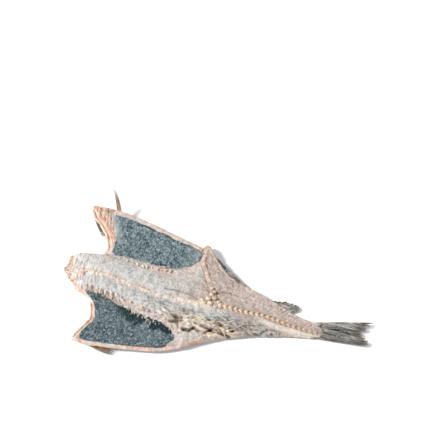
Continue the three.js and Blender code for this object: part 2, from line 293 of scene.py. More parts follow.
def skin_height(x, share):
    """Z of the skin side: the lift, a groove along the back, and the tuck of the rounded rim."""
    reach = np.abs(share) * half_width(x, share)
    groove = BACK_GROOVE_DEPTH * (1 - soft_step(0.72, 1.15, reach / BACK_GROOVE_HALF_WIDTH))
    groove = groove * (1 - soft_step(530, 570, x))
    return lift(x, share) + groove + 0.42 * thickness(x, share) * (1 - rounding(x, share))


def smooth_flesh_height(x, share):
    """Z of the flesh side before any relief: lift plus thickness, less the rounding of the rim."""
    full = lift(x, share) + thickness(x, share) * (1 - 0.58 * (1 - rounding(x, share)))
    return np.maximum(skin_height(x, share) + EDGE_THICKNESS, full)


middle_point = np.array(200.0)
print("thickness at X = 200, on the crease and on the flap, in mm:",
      thickness(middle_point, np.array(0.0)).round(1), thickness(middle_point, np.array(0.9)).round(1))

# %% [markdown]
# ## The relief of the flesh
# Drying draws the flesh in, so that everything the knife and the ribs did stays as relief. Each
# feature is one small function of X and Y that gives a height and, where the colour changes too,
# a mask. Kept apart, they can be tuned one at a time, and the finish later reads the same masks.

# %% Loins and nape
def wrinkled(x, y, size, seed):
    """Branching wrinkles from 0 to 1: one minus twice the size of soft patches, so that a crest
    runs wherever the patches pass through zero."""
    return 1 - 2 * np.abs(cloudy(x, y, size, seed, 2)) / 1.5


def flake_lines(x, y):
    """The slanting ends of the muscle flakes, from -1 to 1: a wave 8 mm long across a line that
    leans back as it leaves the crease, stronger in some patches than in others."""
    lean = x - 0.75 * np.abs(y - crease(x)) + 7 * patches(x, y, 30, 18)
    return np.sin(2 * np.pi * lean / 8.0) * spots(x, y, 28, 19, -0.5, 0.5)


def loin_relief(x, y):
    """Low lumps, the flakes, dried wrinkles and a crumb of salt, in millimetres."""
    lumps = 0.9 * cloudy(x, y, 34, 10) + 0.6 * cloudy(x, y, 12, 14)
    wrinkles = 0.9 * wrinkled(x, y, 8.5, 22)
    crumb = 0.55 * patches(x, y, 5.2, 20) + 0.6 * patches(x, y, 3.3, 21)
    return lumps + 0.35 * flake_lines(x, y) + wrinkles + crumb


def nape_fibres(x, y):
    """Stringy fibres across the nape, where the head was torn away: ridges about 7 mm apart that
    wander with the patches. It gives their height, their share of the surface, which fades by
    X = 95, and the share of the grooves between them."""
    here = 1 - soft_step(35, 95, x)
    wave = np.sin(2 * np.pi * (x + 0.25 * y + 6 * patches(x, y * 0.5, 20, 24)) / 7.0)
    grooves = soft_step(-0.4, -0.95, wave) * spots(x, y, 15, 26, -0.3, 0.5)
    grooves = grooves * soft_step(22, 48, x) * (1 - soft_step(75, 105, x))
    return (0.9 * wave + 1.5 * patches(x, y * 0.4, 6, 25)) * here, here, grooves


tail_band_line = through((440, -8), (463, -10), (487, -15), (528, -15), (577, -15), (600, -12))


def tail_band(x, y):
    """The smooth tendon band on the right of the backbone: a rounded ridge 12 mm wide with a groove
    on both sides, from X = 440 to the tail's root. It gives the height and the band's share."""
    here = soft_step(435, 480, x) * (1 - soft_step(592, 600, x))
    off = y - tail_band_line(x)
    height = 2.0 * hump(off, 6) - 1.3 * hump(off - 10, 3) - 0.8 * hump(off + 9, 3)
    return height * here, hump(off, 7) * here


# %% Cut edges of the loins
seam_line = through(
    (15, -9), (46, -8), (75, -7), (97, -6), (127, -10), (157, -13), (187, -17), (219, -20),
    (259, -20), (300, -16), (333, -10), (350, -6),
)
left_stub_line = through((78, 44), (113, 41), (149, 40), (186, 39), (211, 41), (250, 49))
right_stub_line = through((71, -50), (96, -51), (130, -53), (162, -57), (224, -66), (260, -68))


def stub_bands(x, y):
    """The two rows of cut rib ends, one along each loin: a low swelling 15 mm wide under them."""
    left = hump(y - left_stub_line(x), 8.5) * soft_step(60, 80, x) * (1 - soft_step(225, 280, x))
    right = hump(y - right_stub_line(x), 7) * soft_step(62, 74, x) * (1 - soft_step(150, 250, x))
    return left + right


def crease_line(x, y):
    """The torn cord of spine roots along the crease up to X = 350: a beaded ridge that wanders, a
    bell 4 mm wide that widens to 6 mm behind X = 200, with a thin sunk seam along its left side,
    which the colours turn brown with staining and painted shade.
    It gives the height and the shares of the cord and of the seam."""
    here = soft_step(24, 62, x) * (1 - soft_step(345, 356, x))
    beads = 0.7 + 0.3 * np.sin(2 * np.pi * x / 8.3 + 2 * patch_line(x, 30, 33))
    off = y - seam_line(x) - 1.8 * patch_line(x, 13, 34) - 1.2 * patches(x, y, 4, 37)
    wide = 4.0 + 1.5 * patch_line(x, 7, 38) + 2.0 * soft_step(200, 300, x)
    line = hump(off, wide)
    gaps = spots(x, x * 0, 9, 35, -0.5, 0.1)
    seam = hump(off - wide - 0.6, 1.4) * here * spots(x, x * 0, 16, 39, -0.2, 0.5)
    return (3.1 * line * beads - 0.9 * seam) * here, line * here * blend(0.35, 1.0, gaps), seam


# %% [markdown]
# ## Where the knife turned
# Behind the belly the knife goes round the vent and along the backbone, and it leaves the untidiest
# part of the fish: a ridge from the vent to the first vertebra left in, small torn grooves at its
# end, and, on the right side, flesh pushed into folds with hollows under them, which the colours
# darken with brown staining and painted shade.

# %% Vent ridge, grooves, folds and hollows
vent_line = through((6, 349), (28, 337), (62, 314), (94, 297), (141, 291))  # X against Y
groove_lines = [  # Y against X, the stretch of X that each groove takes, and its depth
    (through((232, -3), (262, 1), (290, 1), (318, -5)), 234, 318, 1.5),
    (through((343, 12), (349, 22), (357, 38)), 343, 357, 1.9),
    (through((334, 34), (344, 28), (352, 20)), 334, 352, 1.7),
    (through((352, 20), (366, 29), (384, 30)), 352, 384, 1.6),
    (through((326, 24), (336, 18), (344, 10)), 326, 344, 1.5),
]
hollows = [  # X, Y, half length, half width, depth
    (312, -82, 12, 3.4, 4.5), (358, -66, 15, 5.0, 7.0), (338, -78, 9, 3.2, 4.0),
    (394, -70, 18, 3.2, 4.0), (288, -73, 11, 3.0, 3.0), (382, -50, 9, 2.6, 2.5),
]


def vent_ridge(x, y):
    """A ridge 16 mm wide down from the vent's peak to the backbone, knotted every 9 mm, between two
    thin seams. It gives the height and the shares of the ridge and of the seams."""
    here = soft_step(0, 14, y) * (1 - soft_step(128, 141, y))
    off = x - vent_line(y) - 1.5 * patch_line(y, 12, 40)
    knots = 0.65 + 0.35 * np.sin(2 * np.pi * y / 9 + 2 * patch_line(y, 25, 41))
    ridge = hump(off, 8.0) * here
    wander = 2.0 * patch_line(y, 7, 42)
    seams = (hump(off + 7 + wander, 1.7) + 0.8 * hump(off - 8 + wander, 1.7)) * here
    return 2.6 * ridge * knots - 1.5 * seams, ridge, seams * spots(x, y, 8, 43, -0.6, 0.0)


def torn_grooves(x, y):
    """Narrow grooves, each along its own curve and only as long as its stretch of X."""
    depth = 0.0
    for line, start, end, deep in groove_lines:
        here = soft_step(start - 3, start + 2, x) * (1 - soft_step(end - 2, end + 3, x))
        depth = depth + deep * hump(y - line(x), 1.7) * here
    return depth


def folds(x, y):
    """Crumpled folds on the right side, long in X and short in Y: crests where stretched and warped
    patches pass zero. It gives their height, their share of the surface and how deep they lie."""
    here = soft_step(150, 250, x) * (1 - soft_step(410, 470, x))
    here = here * hump(y + 62 - 0.05 * (x - 300), 27)
    warp = 9 * patches(x, y, 24, 50)
    crests = wrinkled(0.5 * x + warp, y + 0.7 * warp, 13, 51)
    small = wrinkled(0.7 * x - warp, y, 6, 54)
    height = 4.6 * crests + 3.2 * small - 1.6
    return height * here, here, soft_step(1.3, -1.5, height)


frill_lines = [  # Y against X, the stretch of X, height and how deep the hollow beside it is
    (through((288, -72), (316, -78), (333, -69), (349, -73), (370, -56), (392, -61), (424, -62)),
     286, 424, 4.0, 5.5),
    (through((300, -52), (326, -47), (348, -50), (372, -45), (400, -52)), 300, 400, 2.6, 2.4),
    (through((250, -62), (275, -66), (300, -62), (322, -60)), 250, 322, 2.2, 2.0),
    (through((350, -84), (378, -76), (404, -72), (432, -68)), 350, 432, 2.4, 2.6),
]


def frills(x, y):
    """Torn frills among the folds. Each is a thin crest along its curve with a hollow 6 mm to its
    right, deep in some stretches only. It gives their height and the shares of both."""
    height, crests, troughs = 0.0, 0.0, 0.0
    for line, start, end, high, deep in frill_lines:
        here = soft_step(start, start + 12, x) * (1 - soft_step(end - 14, end, x))
        off = y - line(x) - 1.8 * patch_line(x, 6, 56) - 1.0 * patches(x, y, 3.5, 58)
        crest = hump(off, 2.3) * here
        trough = hump(off + 5.6, 3.0) * here * spots(x, x * 0, 15, 57, -0.5, 0.2)
        height = height + high * crest - deep * trough
        crests = np.maximum(crests, crest)
        troughs = np.maximum(troughs, trough * min(deep / 4.0, 1.0))
    return height, crests, troughs


def hollow_pits(x, y):
    """Hollows, each an oval bell whose outline is moved by patches of 7 mm, which the colours darken
    with brown staining and painted shade. It gives the sum of their depths and the largest of the
    bells."""
    depth, largest = 0.0, 0.0
    y = y + 1.5 * patches(x, y, 7, 59)
    for middle_x, middle_y, half_length, half_breadth, deep in hollows:
        off_y = y - middle_y + 0.04 * (x - middle_x)
        pit = np.exp(-(((x - middle_x) / half_length) ** 2) - (off_y / half_breadth) ** 2)
        depth = depth + deep * pit
        largest = np.maximum(largest, pit)
    return depth, largest


# %% [markdown]
# ## One surface
# The relief dies away at the borders, so that the top and the underside still meet. What each
# feature knows about a point is kept by name beside the height, because the colours follow it.

# %% The flesh side
left_lining_front = through(
    (0.3, 85), (0.42, 85), (0.5, 84), (0.62, 82), (0.75, 74), (0.85, 64), (0.93, 57), (1, 58),
)


def collar_streaks(x, y, share, from_front):
    """The flesh between the left wing's front edge and its lining, drawn out in streaks that run
    along the edge, 5 mm apart. It gives their height and their share of the surface."""
    here = soft_step(0.42, 0.55, share) * (1 - soft_step(-4, 4, x - left_lining_front(share)))
    wave = np.sin(2 * np.pi * (from_front + 3 * patches(x, y, 18, 66)) / 5.2)
    return 0.9 * wave * here, here


def flesh_surface(x, share):
    """The smooth height plus every relief, faded out over the 6 mm next to a border. The grain is
    calmer on the flaps, the tendon band and the bed of the backbone, and a bead runs round the
    wings 5 mm inside the rim. It gives the height and, by name, what the masks are made of."""
    y = crease(x) + share * half_width(x, share)
    out = loin_share(x, share)
    inside = inset(x, share)
    seen = SimpleNamespace(x=x, y=y, share=share, out=out, inside=inside)
    fibres, seen.nape, seen.nape_grooves = nape_fibres(x, y)
    band, seen.band = tail_band(x, y)
    cord, seen.cord, seen.cord_seam = crease_line(x, y)
    vent, seen.vent, seen.vent_seams = vent_ridge(x, y)
    seen.crumple, seen.folds, seen.folds_deep = folds(x, y)
    pits, seen.pits = hollow_pits(x, y)
    frill, seen.frill_crest, seen.frill_trough = frills(x, y)
    seen.streaks, seen.collar = collar_streaks(x, y, share, x - front(share))
    seen.stubs = stub_bands(x, y)
    seen.grooves = torn_grooves(x, y)

    bead = hump(inside - 5, 4.0) * soft_step(0.55, 0.8, np.abs(share))
    bone_bed = hump(y - crease(x), 8) * soft_step(345, 365, x)
    calm = (1 - 0.6 * soft_step(0.9, 1.0, out)) * (1 - 0.8 * seen.band) * (1 - 0.75 * bone_bed)
    relief = loin_relief(x, y) * calm + fibres + band + 1.2 * seen.stubs + cord + vent
    relief = relief + seen.crumple + seen.streaks + frill
    relief = relief - pits - seen.grooves + bead * (1.5 + 1.4 * patches(x, y, 9, 60))
    height = smooth_flesh_height(x, share) + relief * soft_step(0.3, 6.0, inside)
    seen.relief = relief
    return np.maximum(height, skin_height(x, share) + EDGE_THICKNESS), seen


share_line = np.linspace(-1, 1, 201)
height_line = flesh_surface(0 * share_line + 200.0, share_line)[0]
print("flesh side at X = 200, lowest and highest, in mm:", height_line.min().round(1),
      height_line.max().round(1))

# %% [markdown]
# ## Seven masks
# A dried cod is not one colour. Fat has yellowed the cords and rims, blood has left a blush where
# flesh was cut, brown staining and painted shade darken the hollows, and the thin flank lets the
# dark skin through. Some masks paint light too: painted shade where the relief is low, and painted
# highlights on the crests of the folds, the tail's rim and the tendon band. Each mask is a sum of
# such shares at every point, held between 0 and 1 and stored in the mesh. Painting by hand would do
# it too, but sums move with the shape when the shape is changed.

# %% Where on the fish
def find_regions(seen):
    """Adds the regions that several masks share: the tail, the left side, a ragged belt 12 mm wide
    inside the rim, the uneven strength of the blush, the left tail's rim, the tip of the nape and
    the grey flank, a band on the right side that widens behind X = 350."""
    x, y = seen.x, seen.y
    ragged = 4 * patches(x, y, 11, 61) + 2 * patches(x, y, 5, 67)
    seen.tail = soft_step(330, 430, x)
    seen.left = seen.share > 0
    seen.rim = 1 - soft_step(3, 12 + ragged, seen.inside)
    seen.uneven = 0.7 + 0.7 * patches(x, y, 17, 68)
    seen.tail_rim = seen.rim * soft_step(300, 380, x) * seen.left
    seen.nape_tip = 1 - soft_step(12, 50, x + 12 * patches(x, y, 22, 79))
    behind = soft_step(350, 430, x)
    flank = hump(y + blend(40, 37, behind), blend(15, 18, behind))
    seen.flank = flank * soft_step(120, 190, x) * (1 - soft_step(480, 545, x))


# %% Warm, cream and pink
def warmth_at(seen):
    """Beige instead of grey: on the tail, the outer loins, the left side behind the belly, the vent,
    the folds and the collar, with soft clouds, and less on the grey flank."""
    belt = soft_step(0.3, 0.95, seen.out) * soft_step(90, 230, seen.x) * 0.6
    behind = 0.35 * soft_step(200, 330, seen.x) + 0.3 * soft_step(290, 330, seen.x)
    total = seen.tail * 0.85 + belt + 0.3 * cloudy(seen.x, seen.y, 48, 62) + behind * seen.left
    return total + 0.5 * seen.vent + 0.3 * seen.folds + 0.8 * seen.collar - 0.6 * seen.flank


def cream_and_highlight_at(seen):
    """Yellowed fat on the cord, the tendon band and the rims, and in spots at the nape, the vent, the
    flank and the collar. On the crests of folds and frills and along the left tail's rim it is partly
    painted highlight."""
    x, y = seen.x, seen.y
    total = 0.95 * seen.cord + 0.4 * seen.band + seen.frill_crest + 0.15 * seen.nape
    total = total + seen.rim * (0.45 + 0.2 * seen.nape - 0.3 * seen.tail) + 0.3 * seen.tail_rim
    total = total + 0.6 * seen.nape_tip * spots(x, y, 9, 80, -0.1, 0.5)
    total = total + 0.6 * seen.vent * spots(x, y, 5, 75, 0.1, 0.6)
    # partly painted highlight: pale yellow on the crests of the folds
    crests = seen.folds * soft_step(1.4, 3.4, seen.crumple)
    total = total + 0.5 * crests * spots(x, y, 8, 76, -0.4, 0.4)
    total = total + 0.5 * seen.flank * spots(x, y, 5, 73, 0.25, 0.7)
    return total + 0.5 * seen.collar * soft_step(0.1, 0.7, seen.streaks)


def blush_at(seen):
    """Pink of dried blood: along the rims of the wings, at the rib ends, the vent and the collar,
    on both sides of the cord and its front half, and in spots and grooves at the nape."""
    x, y = seen.x, seen.y
    wing = soft_step(0.3, 0.42, np.abs(seen.share)) * (1 - soft_step(300, 400, x))
    total = seen.rim * seen.uneven * (wing + 0.9 * seen.nape) + 0.35 * seen.tail_rim * seen.uneven
    total = total + 0.15 * seen.band + seen.vent * (0.2 + 0.6 * patches(x, y, 7, 74))
    total = total + seen.stubs * (0.4 + 0.5 * patches(x, y, 6, 71))
    beside_cord = seen.cord * (1 - seen.cord)
    total = total + 1.8 * beside_cord * spots(x, y, 8, 36, -0.2, 0.4)
    total = total + 0.35 * seen.cord * (1 - soft_step(180, 280, x))
    total = total + 0.35 * seen.nape_tip * spots(x, y, 6, 82, 0.0, 0.6)
    total = total + 0.55 * seen.nape * spots(x, y, 12, 63, 0.05, 0.6) + 0.5 * seen.nape_grooves
    total = total + seen.collar * (0.25 + 0.5 * patches(x, y, 8, 77))
    return total + 0.8 * seen.collar * soft_step(0.0, -0.7, seen.streaks)


# %% Brown, slate, white and painted shade
def stain_and_shade_at(seen):
    """Brown, as staining and painted shade: in hollows, grooves, the bottoms of folds and frills and
    the seams of the cord and the vent; and brown staining alone in spots at the vent and at the
    collar's tip."""
    x, y = seen.x, seen.y
    total = seen.pits + 0.8 * soft_step(0.4, 1.2, seen.grooves)
    total = total + 0.9 * seen.folds * seen.folds_deep + 0.85 * seen.frill_trough
    total = total + 0.6 * seen.vent * spots(x, y, 5, 69, 0.4, 0.7)
    total = total + 0.75 * seen.vent_seams + 0.7 * seen.cord_seam
    tip = seen.collar * soft_step(0.7, 0.9, seen.share)
    return total + 0.6 * tip * spots(x, y, 8, 78, 0.0, 0.6)


def slate_at(seen):
    """Dark skin that shows through: at the nape's crease, at the torn end of the back on the tail's
    rays, and as slanting specks on the grey flank, stronger behind X = 340."""
    x, y = seen.x, seen.y
    crease_end = hump(y - 2, 14) * (1 - soft_step(22, 42, x))
    back_end = soft_step(14, 2, rear(seen.share) - x + 6 * patches(x * 0.15, y, 2.5, 65))
    specks = spots(0.5 * x + 0.3 * y, y, 2.8, 72, -0.1, 0.5)
    strength = blend(0.6, 1.0, soft_step(340, 400, x))
    total = 0.5 * crease_end * spots(x * 0.6, y * 1.5, 6, 64, 0.1, 0.6) + 0.55 * back_end
    return total + strength * seen.flank * specks


def bleach_and_highlight_at(seen):
    """White salted flesh between the grooves of the nape, and a painted highlight on the tendon band.
    """
    pale_nape = seen.nape * (1 - 0.8 * seen.nape_grooves)
    return pale_nape * spots(seen.x, seen.y, 7, 81, -0.9, 0.3) + 0.45 * seen.band


def painted_shade_at(seen):
    """Painted shade on the flesh: darker wherever the relief is low, less the broad lumps, and on the
    slant of a flake. It also darkens the grey flank a little, the grooves of the nape, the bed of the
    backbone, the right side of the tail and the flesh behind the vent, and lightens the nape and the
    tendon band."""
    x, y = seen.x, seen.y
    off_band = 1 - seen.band
    total = soft_step(0.8, -1.4, seen.relief - 0.9 * cloudy(x, y, 34, 10)) + 0.25 * seen.flank
    total = total - 0.35 * flake_lines(x, y) * off_band - 1.6 * seen.nape + 1.7 * seen.nape_grooves
    total = total + 1.1 * hump(y - crease(x), 15) * soft_step(375, 430, x) * off_band
    total = total + 0.7 * seen.tail * (seen.share < 0) * off_band - 0.5 * seen.band
    behind_vent = soft_step(275, 305, x) * (1 - soft_step(390, 430, x))
    return total + 0.55 * behind_vent * seen.left


def flesh_masks(seen):
    """All seven masks by name, each held between 0 and 1."""
    find_regions(seen)
    shares = {
        "warmth": warmth_at(seen), "cream_and_highlight": cream_and_highlight_at(seen), "blush": blush_at(seen),
        "stain_and_shade": stain_and_shade_at(seen), "slate": slate_at(seen), "bleach_and_highlight": bleach_and_highlight_at(seen),
        "painted_shade": painted_shade_at(seen),
    }
    return {name: np.clip(values, 0, 1) for name, values in shares.items()}


# %% [markdown]
# ## Sheets and strands
# Only two kinds of surface are needed. A closed sheet is a grid of points above, a grid below and a
# wall round the edge: the body, the linings and the fins are all sheets. A strand is a tube that
# tapers along a path: bones, rib ends and shreds of flesh. Both are worked out as whole arrays.

# %% A closed sheet
def closed_sheet(top, bottom):
    """Faces of a closed sheet. top is rows x columns x 3, and bottom has the same rows and every
    k-th column. A cell of a grid is one quad, the side walls are quads, and each wall at the two
    ends joins k + 1 points of the top to 2 of the bottom."""
    rows, top_columns = top.shape[:2]
    bottom_columns = bottom.shape[1]
    k = (top_columns - 1) // (bottom_columns - 1)
    upper = np.arange(rows * top_columns).reshape(rows, top_columns)
    lower = np.arange(rows * bottom_columns).reshape(rows, bottom_columns) + rows * top_columns

    def cells(index):
        """One quad for each cell of a grid of point numbers."""
        corners = index[:-1, :-1], index[1:, :-1], index[1:, 1:], index[:-1, 1:]
        return np.stack(corners, axis=-1).reshape(-1, 4)

    def end_wall(row):
        """From each lower point up, along k steps of the top, and down to the next lower point."""
        spans = [upper[row, step::k][: bottom_columns - 1] for step in range(k)]
        return np.stack([lower[row, :-1], *spans, upper[row, k::k], lower[row, 1:]], axis=-1)

    def side_wall(column):
        """One quad for each pair of rows."""
        above, below = upper[:, column], lower[:, column]
        return np.stack([below[:-1], below[1:], above[1:], above[:-1]], axis=-1)

    faces = [cells(upper), cells(lower)[:, ::-1], side_wall(0), side_wall(-1)[:, ::-1]]
    faces += [end_wall(0), end_wall(-1)[:, ::-1]]
    points = np.concatenate([top.reshape(-1, 3), bottom.reshape(-1, 3)])
    return points, faces


def unit(vectors):
    """Vectors of length 1, along the last axis."""
    return vectors / np.maximum(np.linalg.norm(vectors, axis=-1, keepdims=True), 1e-9)


def thick_sheet(centre, thick):
    """Top and bottom of a sheet: the centre grid moved half its thickness along its normals, which
    are the cross product of its slopes along the rows and along the columns."""
    normal = unit(np.cross(np.gradient(centre, axis=0), np.gradient(centre, axis=1)))
    return centre + normal * thick[..., None] / 2, centre - normal * thick[..., None] / 2


# %% Strands
def tube_faces(tubes, steps, sides):
    """Faces of many tubes, each a row of rings: a quad between neighbouring points of neighbouring
    rings, and one face over each end."""
    index = np.arange(tubes * steps * sides).reshape(tubes, steps, sides)
    turned = np.roll(index, -1, axis=2)
    walls = np.stack([index[:, :-1], turned[:, :-1], turned[:, 1:], index[:, 1:]], axis=-1)
    return [walls.reshape(-1, 4), index[:, 0, ::-1], index[:, -1]]


def strands(paths, radii, sides, flatten):
    """Points and faces of many tapering tubes. paths is tubes x steps x 3 and radii tubes x steps.
    Each step has a ring of points at its radius, in the plane across the path, squeezed by flatten
    in its upright direction, and a face closes each end."""
    ahead = unit(np.gradient(paths, axis=1))
    side = unit(np.cross(ahead, np.array([0.0, 0.0, 1.0])) + 1e-6)
    rise = np.cross(ahead, side)
    turn = np.linspace(0, 2 * np.pi, sides, endpoint=False)
    ring = side[:, :, None] * np.cos(turn)[:, None]
    ring = ring + rise[:, :, None] * np.sin(turn)[:, None] * flatten
    points = paths[:, :, None] + ring * radii[:, :, None, None]
    return points.reshape(-1, 3), tube_faces(*radii.shape, sides)


# %% From arrays to a piece
def make_piece(name, points, faces, material, masks=None):
    """A Blender object from points in drawing millimetres and a list of face arrays, with each mask
    stored as a number at every point. Its shading is smooth."""
    mesh = bpy.data.meshes.new(name)
    mesh.from_pydata(place(points).tolist(), [], [face for part in faces for face in part.tolist()])
    mesh.polygons.foreach_set("use_smooth", np.ones(len(mesh.polygons), bool))
    for key, values in (masks or {}).items():
        attribute = mesh.attributes.new(key, "FLOAT", "POINT")
        attribute.data.foreach_set("value", np.ascontiguousarray(values, np.float32).ravel())
    mesh.materials.append(material)
    mesh.update()
    piece = bpy.data.objects.new(name, mesh)
    bpy.context.scene.collection.objects.link(piece)
    print(name, "has", len(mesh.polygons), "faces")
    return piece


def settle(piece, slot, *nodes):
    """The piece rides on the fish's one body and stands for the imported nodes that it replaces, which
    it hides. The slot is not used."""
    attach(piece, "root")
    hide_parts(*nodes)


# %% [markdown]
# ## Tools for finishes
# A finish is a small web of shader nodes. Written out node by node it hides what it does, so a few
# helpers place a node, fill its sockets and hand back its output. Every pattern reads Object
# coordinates, which are metres on the fish itself, so grains keep their true size everywhere.

# %% Placing nodes
def put(tree, kind, output=0, settings=None, **sockets):
    """Adds a node and returns one of its outputs. A socket is filled from another node's output
    or from a plain value, and underscores in its name stand for spaces."""
    node = tree.nodes.new(kind)
    for key, value in (settings or {}).items():
        setattr(node, key, value)
    for key, value in sockets.items():
        fill(tree, node.inputs[key.replace("_", " ")], value)
    return node.outputs[output]


def fill(tree, socket, value):
    """Links an output into the socket, or sets the socket's own value."""
    if isinstance(value, bpy.types.NodeSocket):
        tree.links.new(value, socket)
    else:
        socket.default_value = value


# %% Sums and colours
def worked_out(tree, operation, a, b=0.0):
    """One Math node: a and b put through an operation."""
    out = put(tree, "ShaderNodeMath", settings={"operation": operation})
    fill(tree, out.node.inputs[0], a)
    fill(tree, out.node.inputs[1], b)
    return out


def plus(tree, a, b):
    """a + b."""
    return worked_out(tree, "ADD", a, b)


def minus(tree, a, b):
    """a - b."""
    return worked_out(tree, "SUBTRACT", a, b)


def times(tree, a, b):
    """a * b."""
    return worked_out(tree, "MULTIPLY", a, b)


def tint(tree, factor, a, b):
    """Colour a turned into colour b by factor. The Mix node keeps its colour sockets at 6 and 7 and
    its colour output at 2."""
    out = put(tree, "ShaderNodeMix", 2, {"data_type": "RGBA"})
    for index, value in ((0, factor), (6, a), (7, b)):
        fill(tree, out.node.inputs[index], (*value, 1.0) if isinstance(value, tuple) else value)
    return out


def rescale(tree, value, low, high, to_low=0.0, to_high=1.0):
    """A value's range low to high turned into another range, held inside it."""
    return put(
        tree, "ShaderNodeMapRange", Value=value, From_Min=low, From_Max=high, To_Min=to_low,
        To_Max=to_high,
    )


# %% Patterns, masks and groups
def object_place(tree):
    """Metres on the fish."""
    return put(tree, "ShaderNodeTexCoord", "Object")


def noise(tree, where, scale, detail=2.0, roughness=0.5, distortion=0.0):
    """Cloud noise with scale blobs to the metre."""
    return put(
        tree, "ShaderNodeTexNoise", Vector=where, Scale=scale, Detail=detail, Roughness=roughness,
        Distortion=distortion,
    )


def mask(tree, name):
    """A number that the mesh stores at its points."""
    return put(tree, "ShaderNodeAttribute", "Fac", {"attribute_name": name})


def new_group(name, inputs, outputs):
    """An empty node group with its sockets: inputs are name to default number, outputs are names."""
    tree = bpy.data.node_groups.new(name, "ShaderNodeTree")
    for key, value in inputs.items():
        socket = tree.interface.new_socket(key, in_out="INPUT", socket_type="NodeSocketFloat")
        socket.default_value = value
    for key in outputs:
        tree.interface.new_socket(key, in_out="OUTPUT", socket_type="NodeSocketFloat")
    return tree, tree.nodes.new("NodeGroupInput").outputs, tree.nodes.new("NodeGroupOutput").inputs


def use_group(tree, group, **values):
    """Places a group in a finish and returns its outputs by name."""
    node = tree.nodes.new("ShaderNodeGroup")
    node.node_tree = group
    for key, value in values.items():
        fill(tree, node.inputs[key.replace("_", " ")], value)
    return node.outputs


def new_finish(name):
    """A material with its node tree and its Principled shader."""
    material = bpy.data.materials.new(name)
    material.use_nodes = True
    return material, material.node_tree, material.node_tree.nodes["Principled BSDF"]


def finish_surface(tree, shader, colour, roughness, height, strength, distance):
    """Fills the three sockets that every finish here uses: colour, roughness and, through a Bump
    node whose distance is in metres, the normal. It prints how large the finish has grown."""
    fill(tree, shader.inputs["Base Color"], colour)
    fill(tree, shader.inputs["Roughness"], roughness)
    bump = put(tree, "ShaderNodeBump", Strength=strength, Distance=distance, Height=height)
    fill(tree, shader.inputs["Normal"], bump)
    print("this finish has", len(tree.nodes), "nodes")


# %% [markdown]
# ## Salt crust
# Salt dries on the fish as crystals of one or two millimetres that sit in patches. Every surface
# has some, so it is a node group: cells give the crystals, slow noise says where they lie, and the
# group hands out a mask for the whitening and a height for the bump.

# %% Salt crust group
salt_crust, given, result = new_group(
    "salt crust", {"Crystals per metre": 520.0, "Cover": 0.5}, ["Mask", "Height"]
)
where = object_place(salt_crust)
crystals = put(
    salt_crust, "ShaderNodeTexVoronoi", "Distance", Vector=where, Scale=given["Crystals per metre"]
)
bumps = rescale(salt_crust, crystals, 0.55, 0.1)
drifts = noise(salt_crust, where, scale=95.0, detail=3.0, roughness=0.6)
edge = minus(salt_crust, 1.0, given["Cover"])
lying = rescale(salt_crust, minus(salt_crust, drifts, edge), -0.12, 0.16)
salt = times(salt_crust, bumps, lying)
fill(salt_crust, result["Mask"], salt)
low_drifts = times(salt_crust, drifts, 0.5)
fill(salt_crust, result["Height"], plus(salt_crust, salt, low_drifts))
print("salt crust group has", len(salt_crust.nodes), "nodes")

# %% [markdown]
# ## Dried fibres
# Muscle, membrane and skin all dry into fine threads. Noise that is stretched along the threads
# gives them without the regular look of a wave. Stretch is the scale along X next to the scale
# across it: below 1 the threads run along the fish, and above 1 they run across it.

# %% Dried fibre group
dried_fibres, given, result = new_group(
    "dried fibres", {"Threads per metre": 300.0, "Stretch": 0.25}, ["Threads"]
)
stretched = put(dried_fibres, "ShaderNodeCombineXYZ", X=given["Stretch"], Y=1.0, Z=1.0)
lengthened = put(dried_fibres, "ShaderNodeVectorMath", 0, {"operation": "MULTIPLY"})
fill(dried_fibres, lengthened.node.inputs[0], object_place(dried_fibres))
fill(dried_fibres, lengthened.node.inputs[1], stretched)
threads = noise(
    dried_fibres, lengthened, given["Threads per metre"], detail=3.0, roughness=0.65, distortion=0.6,
)
fill(dried_fibres, result["Threads"], rescale(dried_fibres, threads, 0.3, 0.7))
print("dried fibre group has", len(dried_fibres.nodes), "nodes")

# %% [markdown]
# ## Salted flesh
# The flesh is a cool grey white on the loins and warms to beige towards the tail and the vent.
# Colours are laid over each other in the order in which they cover one another: grey darkened by
# painted shade, warmth, bleached flesh with a painted highlight on the tendon band, pale yellow fat
# with painted highlights on crests, blush, slate, brown staining with painted shade in the hollows,
# and then salt. Noise breaks up the edge of each mask, so that none looks airbrushed. Light threads
# run across the loins and along the tail.

# %% Flesh finish
COOL_WHITE = (0.80, 0.79, 0.765)
SHADED_GREY = (0.29, 0.30, 0.285)
PALE_BEIGE = (0.84, 0.665, 0.59)
SHADED_BEIGE = (0.29, 0.19, 0.145)
CREAM_AND_HIGHLIGHT = (0.90, 0.745, 0.56)
PALE_BLUSH = (0.88, 0.61, 0.50)
DEEP_BLUSH = (0.66, 0.29, 0.15)
SLATE = (0.105, 0.125, 0.112)
STAIN_AND_SHADE = (0.25, 0.155, 0.08)
DEEP_STAIN_AND_SHADE = (0.10, 0.062, 0.028)
SALT_AND_HIGHLIGHT_WHITE = (0.90, 0.89, 0.87)

flesh_finish, tree, shader = new_finish("salted flesh")
where = object_place(tree)
crust = use_group(tree, salt_crust, Cover=0.5)
fibre = use_group(tree, dried_fibres, Threads_per_metre=260.0)["Threads"]
across = use_group(tree, dried_fibres, Threads_per_metre=100.0, Stretch=2.3)["Threads"]
lengthwise = use_group(tree, dried_fibres, Threads_per_metre=170.0, Stretch=0.16)["Threads"]
speckle = noise(tree, where, scale=230.0, detail=4.0, roughness=0.8, distortion=0.9)
winding = noise(tree, where, scale=130.0, detail=3.0, roughness=0.6, distortion=0.7)
from_middle = worked_out(tree, "ABSOLUTE", minus(tree, winding, 0.5))
vein = rescale(tree, from_middle, 0.045, 0.0)
breakup = times(tree, minus(tree, speckle, 0.5), 1.6)


def broken(name, reach=0.35):
    """A stored mask whose edge is broken up by the speckle."""
    return rescale(tree, plus(tree, mask(tree, name), breakup), 0.5 - reach, 0.5 + reach)


